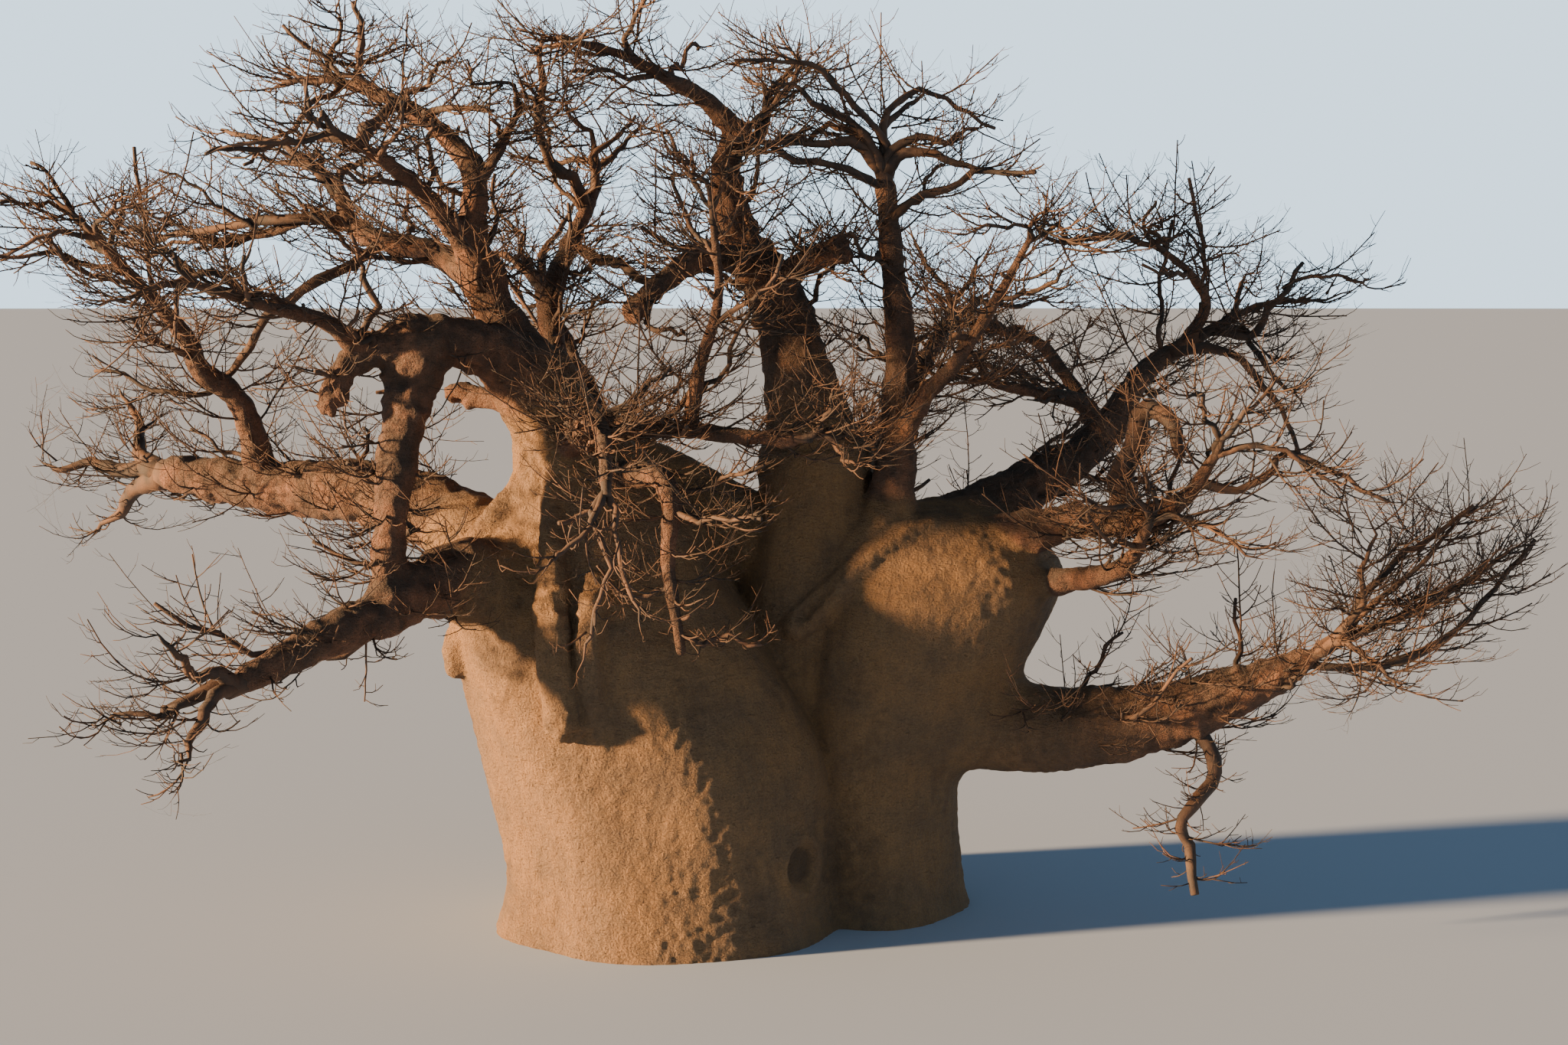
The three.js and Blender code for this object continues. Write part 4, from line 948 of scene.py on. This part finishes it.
# Small crooked limbs inside the masses: the mass each belongs to, its radii and its places.
SMALL_LIMBS = [
    ("left_back", (0.075, 0.045), [
        (-4.2, 1.4, 7.84), (-4.85, 0.9, 7.39), (-5.48, 0.9, 6.86), (-6.06, 1.25, 6.22),
        (-6.2, 1.0, 6.16)]),
    ("left_inner", (0.07, 0.055), [(-3.72, -2.55, 8.68), (-3.78, -1.4, 8.98), (-3.8, -0.32, 9.34)]),
    ("arch_spur", (0.05, 0.022), [
        (-3.9, -1.64, 6.5), (-3.94, -1.7, 7.1), (-3.9, -1.75, 7.45), (-3.98, -1.85, 7.8)]),
    ("left_crest", (0.055, 0.03), [(-4.15, 0.0, 9.45), (-4.15, -0.3, 9.9), (-4.16, -0.5, 10.4)]),
    ("left_crest", (0.045, 0.02), [(-4.35, 0.15, 9.52), (-4.86, 0.1, 9.58), (-5.24, 0.3, 9.63)]),
    ("left_crest", (0.04, 0.018), [
        (-4.4, 0.2, 9.56), (-4.67, -0.5, 9.18), (-5.05, -0.9, 8.84), (-5.25, -1.2, 8.57)]),
    ("left_crest", (0.06, 0.022), [
        (-3.4, -0.55, 9.1), (-3.25, -0.9, 9.2), (-2.93, -1.1, 9.15), (-2.53, -1.3, 9.14)]),
    ("left_crest", (0.04, 0.02), [(-3.6, -0.4, 9.25), (-3.34, -0.5, 9.6), (-3.16, -0.3, 9.8)]),
    ("left_inner", (0.045, 0.02), [
        (-3.8, -2.7, 8.72), (-4.39, -2.6, 8.7), (-4.75, -2.9, 8.62), (-5.13, -3.3, 8.55)]),
    ("left_back", (0.065, 0.022), [
        (-4.83, 2.2, 8.3), (-5.25, 2.3, 8.8), (-5.52, 2.4, 8.96), (-6.02, 2.6, 9.11),
        (-6.48, 2.9, 9.25)]),
    ("left_back", (0.07, 0.025), [
        (-4.7, 2.0, 8.05), (-5.4, 1.9, 8.05), (-6.33, 2.2, 7.98), (-7.07, 2.6, 8.0),
        (-7.89, 3.0, 7.81)]),
    ("left_back", (0.035, 0.015), [(-5.84, 1.95, 8.0), (-6.29, 1.9, 8.31), (-6.98, 1.8, 8.69)]),
    ("arch_spur", (0.05, 0.02), [
        (-4.7, -2.65, 7.05), (-5.17, -2.6, 7.4), (-5.51, -2.8, 7.27), (-5.76, -3.0, 7.28),
        (-5.94, -3.2, 7.05)]),
    ("low_riser", (0.045, 0.02), [(-7.0, -0.1, 7.6), (-7.4, 0.0, 8.05), (-7.88, -0.2, 8.66)]),
    ("low_riser", (0.045, 0.02), [
        (-6.85, 0.2, 7.35), (-7.46, 0.5, 7.53), (-7.93, 0.4, 7.62), (-8.39, 0.2, 7.57)]),
    ("low_riser", (0.04, 0.018), [(-7.0, -0.1, 7.6), (-7.57, 0.0, 8.1), (-8.13, -0.5, 8.22)]),
    ("low_riser", (0.035, 0.015), [(-7.05, -0.15, 7.7), (-6.77, -0.2, 8.16), (-6.21, -0.4, 7.99)]),
    ("neck_limb", (0.085, 0.035), [
        (-1.77, 1.57, 8.25), (-2.05, 1.2, 8.6), (-2.21, 0.9, 9.1), (-2.21, 0.8, 9.53),
        (-2.23, 0.6, 10.0)]),
    ("neck_limb", (0.05, 0.02), [(-1.76, 1.58, 8.28), (-1.59, 1.6, 8.87), (-1.21, 1.9, 9.35)]),
    ("neck_limb", (0.075, 0.03), [
        (-1.95, 1.3, 7.8), (-1.3, 0.8, 7.53), (-0.97, 0.4, 7.35), (-0.21, 0.0, 7.42)]),
    ("bar_spire", (0.035, 0.018), [(-0.12, -2.15, 7.8), (-0.4, -1.7, 8.48), (-0.67, -1.4, 8.93)]),
    ("centre_crest", (0.045, 0.022), [(-0.7, -0.05, 9.6), (-0.6, 0.4, 9.8), (-0.41, 0.7, 10.0)]),
    ("right_mast", (0.055, 0.02), [
        (1.75, 0.3, 8.35), (1.4, 0.1, 8.5), (0.9, -0.1, 8.68), (0.46, -0.3, 8.82),
        (-0.04, -0.5, 8.91)]),
    ("right_mast", (0.06, 0.025), [
        (1.75, 0.3, 8.4), (1.6, 0.5, 8.95), (1.21, 0.9, 9.12), (0.91, 1.2, 9.1),
        (0.61, 1.5, 9.02)]),
    ("right_mast", (0.05, 0.02), [
        (1.76, 0.32, 8.4), (1.82, 0.3, 8.84), (1.35, 0.1, 9.35), (0.77, -0.1, 9.74),
        (0.04, -0.4, 9.77)]),
    ("right_mast", (0.055, 0.022), [
        (1.76, 0.32, 8.42), (1.7, 0.5, 9.1), (2.18, 1.1, 9.5), (2.73, 1.4, 9.34),
        (3.12, 1.6, 9.17)]),
    ("right_mast", (0.06, 0.025), [
        (1.78, 0.22, 7.95), (2.1, 0.0, 8.25), (2.68, -0.3, 8.48), (3.01, -0.6, 8.5),
        (3.34, -0.9, 8.51)]),
    ("centre_mast", (0.06, 0.025), [
        (0.2, 0.6, 8.9), (0.24, 0.9, 9.19), (0.46, 1.2, 9.48), (0.64, 1.4, 9.81),
        (0.73, 1.5, 10.04)]),
    ("right_hook", (0.04, 0.018), [
        (5.1, 1.2, 7.7), (4.62, 1.6, 7.85), (4.05, 1.5, 7.87), (3.54, 1.1, 8.04)]),
    ("right_hook", (0.035, 0.018), [(5.12, 1.22, 7.68), (4.93, 1.5, 8.05), (5.03, 1.4, 8.3)]),
    ("right_head", (0.07, 0.025), [
        (5.6, 2.0, 6.63), (6.2, 1.85, 6.8), (6.52, 1.6, 7.18), (6.83, 1.5, 7.57)]),
    ("right_head", (0.028, 0.014), [(6.6, 1.55, 7.25), (7.04, 1.3, 7.36), (7.55, 1.2, 7.36)]),
    ("right_head", (0.07, 0.022), [
        (5.3, 1.9, 6.48), (5.87, 1.3, 6.54), (6.25, 0.9, 6.14), (6.47, 0.6, 5.71),
        (6.61, 0.4, 5.27)]),
    ("right_sweep", (0.17, 0.06), [
        (4.3, -1.15, 4.7), (4.25, -1.1, 5.3), (4.37, -1.3, 5.83), (4.62, -1.6, 5.88),
        (4.76, -1.8, 5.71), (4.8, -1.9, 5.46)]),
    ("right_sweep", (0.055, 0.02), [
        (4.95, -2.0, 5.2), (5.34, -2.1, 5.15), (5.77, -2.3, 5.25), (5.85, -2.4, 5.46),
        (6.25, -2.6, 5.32), (6.79, -2.8, 5.06)]),
    ("ground_limb", (0.06, 0.022), [
        (6.38, -1.2, 3.2), (6.9, -1.2, 3.7), (7.29, -1.4, 4.25), (7.66, -1.6, 4.62),
        (7.99, -1.7, 4.92)]),
    ("ground_limb", (0.055, 0.022), [
        (6.3, -1.15, 3.15), (7.0, -1.2, 3.1), (7.95, -1.0, 3.41), (8.3, -0.9, 3.7),
        (8.96, -0.8, 4.46)]),
    ("ground_limb", (0.1, 0.05), [
        (5.2, -0.55, 2.5), (5.42, -0.9, 1.87), (5.0, -1.1, 1.29), (5.15, -1.3, 0.55)]),
]


def seeded_numbers(seed):
    """The same run of numbers between 0 and 1 for the same seed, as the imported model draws."""
    whole = 0xFFFFFFFF
    stride = 0x6D2B79F5
    state = seed
    while True:
        state = (state + stride) & whole
        scrambled = ((state ^ (state >> 15)) * (state | 1)) & whole
        step = ((scrambled ^ (scrambled >> 7)) * (scrambled | 61)) & whole
        scrambled ^= (scrambled + step) & whole
        yield ((scrambled ^ (scrambled >> 14)) & whole) / (whole + 1)


def between(first, last, share):
    """A value the given share of the way from first to last."""
    return first + (last - first) * share


def length_there(share):
    """How long a twig is for its kind, the given share of the way along its carrier."""
    return LENGTH_AT_ROOT - LENGTH_LOST * share


def curling_twig(root, along, angle, turn, length, random):
    """A twig that leaves its carrier at an angle and curls upward, from root to tip."""
    helper = Vector((1, 0, 0)) if abs(along.z) > STEEP else Vector((0, 0, 1))
    across = along.cross(helper).normalized()
    beside = along.cross(across)
    heading = along * math.cos(angle) + math.sin(angle) * (
        across * math.cos(turn) + beside * math.sin(turn))
    middle = root + heading * length * 0.5
    curl = Vector((next(random) - 0.5, next(random) - 0.5,
                   LEAST_TWIG_RISE + TWIG_RISE_SPREAD * next(random)))
    heading = (heading + curl * TWIG_CURL).normalized()
    return [root, middle, middle + heading * length * 0.5]


def leader_line(root, heading, end, random):
    """A leader from where it leaves the stem to its end."""
    span = (end - root).length
    push = root + heading * span * LEADER_PUSH
    pull = end - (end - root) * LEADER_PULL
    line = []
    for index in range(LEADER_STEPS + 1):
        share = index / LEADER_STEPS
        left = 1 - share
        place = (root * left ** 3 + push * 3 * left ** 2 * share
                 + pull * 3 * left * share ** 2 + end * share ** 3)
        waver = Vector((next(random) - 0.5, next(random) - 0.5, next(random) - 0.5))
        line.append(place + waver * LEADER_SWAY * span * math.sin(math.pi * share))
    return line


def space_around(foot, ends):
    """Middle and half spans of the egg that a mass keeps to."""
    places = np.array([foot, *ends])
    low = places.min(axis=0)
    high = places.max(axis=0)
    return (low + high) / 2, (high - low) / 2 + TWIG_REACH


def in_space(space, places):
    """Whether places lie in the egg that a mass keeps to."""
    middle, half = space
    return (((np.asarray(places) - middle) / half) ** 2).sum(axis=-1) < SPACE_FULLNESS


def touches_any(line, radii, stretches, owner):
    """Whether a coarse twig comes too near any other wood."""
    starts, ends, first_radii, last_radii, owners = stretches
    other = owners != owner
    starts, ends = starts[other], ends[other]
    first_radii, last_radii = first_radii[other], last_radii[other]
    other_along = ends - starts
    other_square = (other_along ** 2).sum(axis=1)
    for start, end, first, last in zip(line, line[1:], radii, radii[1:]):
        along = np.array(end - start)
        apart = np.array(start) - starts
        square = along @ along
        common = other_along @ along
        lead = apart @ along
        other_lead = (other_along * apart).sum(axis=1)
        spread = square * other_square - common * common
        crossing = np.clip((common * other_lead - other_square * lead) / spread, 0, 1)
        share = np.where(spread > NEARLY_ALIKE * square * other_square, crossing, 0)
        other_share = np.clip((common * share + other_lead) / other_square, 0, 1)
        share = np.clip((common * other_share - lead) / square, 0, 1)
        near = apart + share[:, None] * along - other_share[:, None] * other_along
        gap = (np.linalg.norm(near, axis=1) - between(first, last, share)
               - between(first_radii, last_radii, other_share))
        if (gap < PASSING_GAP).any():
            return True
    return False


def coarse_twigs(name, foot, heading, tip_radius, seed, stretches, owner):
    """The stem, leaders, side twigs and forks of a mass, each kind in a list."""
    random = seeded_numbers(seed)
    ends = [Vector(end) for end in MASSES[name]]
    space = space_around(foot, ends)
    stem_radius = tip_radius * STEM_SHARE
    grown = dict(stem=[([foot, foot + heading * STEM_LENGTH],
                        [stem_radius, stem_radius * STEM_TAPER])], leader=[], side=[], fork=[])

    def fits(line, radii):
        return in_space(space, line).all() and not touches_any(line, radii, stretches, owner)

    for end in ends:
        root = foot + heading * STEM_LENGTH * LEADER_FOOT
        line = leader_line(root, heading, end, random)
        root_radius = stem_radius * LEADER_SHARE
        radii = [between(root_radius, LEADER_TIP, (index / LEADER_STEPS) ** LEADER_TAPER)
                 for index in range(LEADER_STEPS)] + [0]
        grown["leader"].append((line, radii))
        count = max(2, int((end - root).length / SIDE_TWIG_SPACING + 0.5))
        first_turn = 2 * math.pi * next(random)
        for index in range(count):
            share = FIRST_TWIG + TWIGGED_STRETCH * (index + 0.5) / count
            step = min(LEADER_STEPS - 1, int(share * LEADER_STEPS))
            within = share * LEADER_STEPS - step
            along = line[step + 1] - line[step]
            twig_root = line[step] + along * within
            carrier = between(radii[step], radii[step + 1], within)
            angle = LEAST_TWIG_ANGLE + TWIG_ANGLE_SPREAD * next(random)
            turn = first_turn + index * GOLDEN_ANGLE
            length = SIDE_TWIG_LENGTH * length_there(share) * (
                LEAST_TWIG_LENGTH + TWIG_LENGTH_SPREAD * next(random))
            twig = curling_twig(twig_root, along.normalized(), angle, turn, length, random)
            thick = min(SIDE_TWIG_RADIUS, TWIG_SHARE * carrier)
            fork_angle = LEAST_TWIG_ANGLE + TWIG_ANGLE_SPREAD * next(random)
            fork_turn = 2 * math.pi * next(random)
            fork_length = FORK_LENGTH * (LEAST_FORK_LENGTH + FORK_LENGTH_SPREAD * next(random))
            fork = curling_twig(twig[1], (twig[1] - twig[0]).normalized(), fork_angle, fork_turn,
                                fork_length, random)
            twig_radii = [thick, TWIG_MIDDLE_SHARE * thick, 0]
            if not fits(twig, twig_radii):
                continue
            grown["side"].append((twig, twig_radii))
            fork_radii = [min(FORK_RADIUS, FORK_SHARE * thick), 0]
            if index % 2 == 0 and fits([fork[0], fork[2]], fork_radii):
                grown["fork"].append(([fork[0], fork[2]], fork_radii))
    return grown, space


def stretches_of(line, radii, owner):
    """A line of wood as straight stretches, for the test of what a twig would touch."""
    line = np.array(line)
    radii = np.array(radii, float)
    return line[:-1], line[1:], radii[:-1], radii[1:], np.full(len(line) - 1, owner)


def smoothed(line, radii, count):
    """A coarse line as an even number of points on a smooth curve, with its radii."""
    line = np.array(line)
    fine = curve_through(line, distances_along(line)[-1] / CURVE_POINTS)
    along = distances_along(fine)
    marks = np.linspace(0, along[-1], count)
    places = np.stack([np.interp(marks, along, fine[:, axis]) for axis in range(3)], axis=1)
    shares = np.linspace(0, 1, len(radii))
    return places, np.interp(np.linspace(0, 1, count), shares, radii)


def laid_out(limbs, count):
    """Coarse limbs, smoothed to the same number of points, as arrays of lines and of radii."""
    laid = [smoothed(line, radii, count) for line, radii in limbs]
    return np.array([line for line, _ in laid]), np.array([radii for _, radii in laid])


def branched(lines, radii, random, habit, per_metre, length, thickness, count, first=0.12):
    """Twigs that spring from all sides of the given lines by the rule of the side twigs."""
    spans = np.linalg.norm(np.diff(lines, axis=1), axis=2)
    hang, fullness = habit
    counts = spans.sum(axis=1) * per_metre * fullness + random.random(len(lines))
    counts = counts.astype(int)
    carrier = np.repeat(np.arange(len(lines)), counts)
    rank = np.arange(len(carrier)) - np.repeat(np.cumsum(counts) - counts, counts)
    slot = rank + random.uniform(*TWIG_SLOT, len(rank))
    share = first + (LAST_TWIG - first) * slot / counts[carrier]
    marks = share * (lines.shape[1] - 1)
    step = np.minimum(marks.astype(int), lines.shape[1] - 2)
    within = (marks - step)[:, None]
    start, end = lines[carrier, step], lines[carrier, step + 1]
    along = end - start
    along /= np.linalg.norm(along, axis=1, keepdims=True)
    girth = radii[carrier, step] * (1 - within[:, 0]) + radii[carrier, step + 1] * within[:, 0]
    helper = np.where(np.abs(along[:, 2:]) > STEEP, (1.0, 0, 0), (0, 0, 1.0))
    across = np.cross(along, helper)
    across /= np.linalg.norm(across, axis=1, keepdims=True)
    beside = np.cross(along, across)
    turn = random.uniform(0, 2 * np.pi, len(lines))[carrier] + rank * GOLDEN_ANGLE
    turn += random.normal(0, TURN_WAVER, len(rank))
    aside = across * np.cos(turn)[:, None] + beside * np.sin(turn)[:, None]
    angle = LEAST_TWIG_ANGLE + TWIG_ANGLE_SPREAD * random.uniform(*ANGLE_RANGE, len(rank))
    heading = along * np.cos(angle)[:, None] + aside * np.sin(angle)[:, None]
    heading[:, 2] = FLATNESS * heading[:, 2] - SAG - hang
    heading /= np.linalg.norm(heading, axis=1, keepdims=True)
    size = length * length_there(share) * random.uniform(*LENGTH_RANGE, len(rank))
    curl = random.uniform(-CURL_ASIDE, CURL_ASIDE, (len(rank), 3)) + (0, 0, CURL_RISE + hang)
    root = start + (end - start) * within + aside * (ROOT_DEPTH * girth)[:, None]
    marks = np.linspace(0, 1, count)[None, :, None]
    bent = heading[:, None] * marks + curl[:, None] * (0.5 * marks * marks)
    bent += crooked(len(rank), count, random) * CROOK
    new_lines = root[:, None] + bent * size[:, None, None]
    thick = np.minimum(thickness, TWIG_SHARE * girth)
    return new_lines, thick[:, None] * np.linspace(1, TWIG_BLUNTNESS, count)[None]


def crooked(number, count, random):
    """Small bends at each point of some lines but their first."""
    bends = random.normal(0, 1, (number, count, 3))
    bends[:, 0] = 0
    bends[:, -1] *= 0.5
    return bends


def kept(lines, radii, space):
    """The twigs that stay in their space, over the ground and clear of the wood."""
    clear = (lines[:, :, 2] > GROUND_ROOM).all(axis=1)
    clear &= ((lines > np.array(model_low)) & (lines < np.array(model_high))).all(axis=(1, 2))
    if space is not None:
        clear &= in_space(space, lines[:, -1])
    for index in (lines.shape[1] // 2, lines.shape[1] - 1):
        gap, _, _ = wood_gap(lines[:, index])
        clear &= gap > WOOD_ROOM
    return lines[clear], radii[clear]


def twig_tubes(lines, radii, sides):
    """Tubes for twigs that end bluntly."""
    ahead = lines[:, -1] - lines[:, -2]
    ahead *= BLUNT_END / np.linalg.norm(ahead, axis=1, keepdims=True)
    return closed_tubes(rings_along(lines, radii, sides), lines[:, -1] + ahead)


def gnarled(lines, radii, random):
    """Limbs with the bends and swellings of old wood."""
    number, count = lines.shape[:2]
    elbows = crooked(number, ELBOWS + 1, random) * ELBOW_BEND
    marks = np.linspace(0, ELBOWS, count)
    step = np.minimum(marks.astype(int), ELBOWS - 1)
    within = (marks - step)[None, :, None]
    bends = elbows[:, step] * (1 - within) + elbows[:, step + 1] * within
    bends += crooked(number, count, random) * LIMB_CROOK
    bends[:, -1] = 0
    return lines + bends, radii * random.uniform(*SWELLING, radii.shape)


def fine_twigs(lines, radii, space, random, habit):
    """Branchlets on the given lines, spurs on these and tips on the spurs, as tubes."""
    branchlets = kept(*branched(lines, radii, random, habit, **BRANCHLET), space)
    tubes = [twig_tubes(*branchlets, BRANCHLET_SIDES)]
    for carriers in ((lines, radii), branchlets):
        spurs = kept(*branched(*carriers, random, habit, **SPUR), space)
        tips = kept(*branched(*spurs, random, habit, **TIP), space)
        tubes += [twig_tubes(*spurs, SPUR_SIDES), twig_tubes(*tips, SPUR_SIDES)]
    return tubes


TWIG_BROWN = (0.036, 0.027, 0.023, 1)
TWIG_COPPER = (0.11, 0.058, 0.035, 1)
TWIG_BLOTCHES = dict(per_metre=2.5, low=0.4, high=0.65)
TWIG_ROUGHNESS = 0.85
FURROWS_PER_METRE = 60
FURROW_DETAIL = 2
FURROW_HEIGHT = 0.01
FURROW_STRENGTH = 0.5

twig_bark = bpy.data.materials.new("twig_bark")
twig_bark.use_nodes = True
graph = twig_bark.node_tree
surface = graph.nodes["Principled BSDF"]
place = add_node(graph, "ShaderNodeTexCoord", {}).outputs["Object"]
blotches = marks_at(graph, place, **TWIG_BLOTCHES)
furrows = add_node(graph, "ShaderNodeBump", {
    "Height": noise_at(graph, place, FURROWS_PER_METRE, FURROW_DETAIL),
    "Strength": FURROW_STRENGTH, "Distance": FURROW_HEIGHT})
feed(graph, surface.inputs["Base Color"], mixed(graph, blotches, TWIG_BROWN, TWIG_COPPER))
feed(graph, surface.inputs["Roughness"], TWIG_ROUGHNESS)
feed(graph, surface.inputs["Normal"], furrows.outputs["Normal"])


def twig_piece(name, tubes):
    """One piece of twigs, joined from tubes, that rides on the tree."""
    piece = new_piece(name, *joined([tube for tube in tubes if len(tube[0])]))
    piece.data.materials.append(twig_bark)
    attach(piece, "root")
    return piece


# Every straight stretch of wood so far, which the twigs of a mass may not touch: where it starts
# and ends, its radii there, and what it belongs to.
stretches = [[], [], [], [], []]


def add_stretches(line, radii, owner):
    """Adds a line of wood to what later twigs may not touch."""
    for known_list, new in zip(stretches, stretches_of(line, radii, owner)):
        known_list.append(new)


for bole in BOLES:
    add_stretches([(x, y, z) for z, x, y, _, _ in bole["levels"]],
                  [max(wide, deep) for _, _, _, wide, deep in bole["levels"]], "trunk")
for name in bough_names:
    add_stretches(*lay_out_bough(name, COARSE_STEP), name)

for number, name in enumerate(MASSES):
    line, radii = lay_out_bough(name, COARSE_STEP)
    heading = Vector(line[-1] - line[-2]).normalized()
    foot = Vector(line[-1]) + heading * CLEARANCE
    owner = f"twigs_{name}"
    known = [np.concatenate(part) for part in stretches]
    grown, space = coarse_twigs(name, foot, heading, BOUGHS[name][0][1], FIRST_SEED + number,
                                known, owner)
    for kind in grown.values():
        for twig_line, twig_radii in kind:
            add_stretches(twig_line, twig_radii, owner)
    random = np.random.default_rng(FIRST_SEED + number)
    habit = (HANG.get(name, 0), FULLNESS.get(name, 1))
    leaders = gnarled(*laid_out(grown["leader"], LIMB_POINTS), random)
    stem_rings = rings_along(*laid_out(grown["stem"], STEM_POINTS), STEM_SIDES)
    tubes = [twig_tubes(*leaders, LIMB_SIDES)]
    tubes.append(closed_tubes(stem_rings, stem_rings[:, -1].mean(axis=1)))
    tubes += fine_twigs(*leaders, space, random, habit)
    if grown["side"]:
        sides = laid_out(grown["side"] + grown["fork"], TWIG_POINTS)
        tubes.append(twig_tubes(*sides, SPUR_SIDES))
        tubes += fine_twigs(*sides, space, random, habit)
    small = [(places, end_radii) for mass, end_radii, places in SMALL_LIMBS if mass == name]
    if small:
        small = gnarled(*laid_out(small, LIMB_POINTS), random)
        tubes.append(twig_tubes(*small, LIMB_SIDES))
        tubes += fine_twigs(*small, None, random, habit)
    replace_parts(twig_piece(f"{name}_twigs", tubes), f"twigs_{name}")

# The sprouts
# Small crooked limbs, dead snags and young shoots that break straight from the bark all along
# the boughs. They are of the same thin wood as the masses and carry the same spurs.
FIRST_SPROUT_SEED = 201
BOUGH_POINTS = 24
SIDE_LIMB_SIDES = 6
SIDE_LIMB = dict(per_metre=1.0, length=1.15, thickness=0.034, count=10, first=0.3)
SHOOT = dict(per_metre=4.5, length=0.75, thickness=0.0145, count=7, first=0.2)
SNAG = dict(per_metre=1.2, length=0.16, thickness=0.03, count=4, first=0.1)
PLAIN_HABIT = (0, 1)
SPROUT_GROUPS = {
    "left_sprouts": ["left_riser", "left_crest", "left_tuft", "left_inner", "left_back",
                     "left_back_low", "low_lower", "low_upper", "low_riser"],
    "neck_sprouts": ["arch", "arch_prop", "arch_spur", "neck_limb", "front_bar", "bar_spire",
                     "front_droop", "hook_stub"],
    "centre_sprouts": ["centre_stem", "centre_crest", "centre_mast", "stump_left", "stump_right",
                       "right_mast", "mast_side", "rear_left", "rear_right"],
    "right_sprouts": ["right_limb", "right_head", "right_hook", "right_back", "right_rise",
                      "right_sweep", "shoulder_stub", "ground_limb"],
}


def sprung(carriers, random, kind):
    """The sprouts of one kind along some boughs."""
    return kept(*branched(*carriers, random, PLAIN_HABIT, **kind), None)


for number, (name, boughs) in enumerate(SPROUT_GROUPS.items()):
    random = np.random.default_rng(FIRST_SPROUT_SEED + number)
    carriers = laid_out([lay_out_bough(bough, FINE_STEP) for bough in boughs], BOUGH_POINTS)
    side_limbs = gnarled(*sprung(carriers, random, SIDE_LIMB), random)
    tubes = [twig_tubes(*side_limbs, SIDE_LIMB_SIDES)]
    tubes += fine_twigs(*side_limbs, None, random, PLAIN_HABIT)
    tubes.append(twig_tubes(*sprung(carriers, random, SNAG), LIMB_SIDES))
    shoots = sprung(carriers, random, SHOOT)
    tubes.append(twig_tubes(*shoots, BRANCHLET_SIDES))
    tubes += fine_twigs(*shoots, None, random, PLAIN_HABIT)
    twig_piece(name, tubes)

# The floor and the light
# A pale plain floor out to the horizon, a low warm lamp on the left, and a soft cool fill that
# is strongest round the horizon.
FLOOR_PALE = (0.43, 0.55, 0.74, 1)
FLOOR_REACH = 2500
FLOOR_SIDES = 96
LAMP_WARM = (1.0, 0.6, 0.29)
LAMP_STRENGTH = 25.5
LAMP_WIDTH = math.radians(4)
LAMP_HEADING = Vector((1, 0.265, -0.15))
FILL_COOL = (0.64, 0.84, 1.0, 1)
HORIZON_STRENGTH = 1.95
SKY_STRENGTH = 0.16
HORIZON_TOP = 0.13
SKY_FOOT = 0.3

floor_material = bpy.data.materials.new("floor")
floor_material.use_nodes = True
floor_surface = floor_material.node_tree.nodes["Principled BSDF"]
floor_surface.inputs["Base Color"].default_value = FLOOR_PALE
floor_surface.inputs["Roughness"].default_value = 1.0
floor_surface.inputs["Specular IOR Level"].default_value = 0.0
bpy.ops.mesh.primitive_circle_add(vertices=FLOOR_SIDES, radius=FLOOR_REACH, fill_type="NGON")
floor = bpy.context.object
floor.name = "floor"
floor.data.materials.append(floor_material)

lamp = bpy.data.objects.new("lamp", bpy.data.lights.new("lamp", "SUN"))
lamp.data.angle = LAMP_WIDTH
lamp.data.energy = LAMP_STRENGTH
lamp.data.color = LAMP_WARM
lamp.rotation_euler = LAMP_HEADING.to_track_quat("-Z", "Y").to_euler()
bpy.context.scene.collection.objects.link(lamp)

world = bpy.data.worlds.new("fill")
world.use_nodes = True
graph = world.node_tree
toward = add_node(graph, "ShaderNodeTexCoord", {}).outputs["Generated"]
height = add_node(graph, "ShaderNodeSeparateXYZ", {"Vector": toward}).outputs["Z"]
strength = in_range(graph, height, HORIZON_TOP, SKY_FOOT, HORIZON_STRENGTH, SKY_STRENGTH)
feed(graph, graph.nodes["Background"].inputs["Color"], FILL_COOL)
feed(graph, graph.nodes["Background"].inputs["Strength"], strength)
bpy.context.scene.world = world
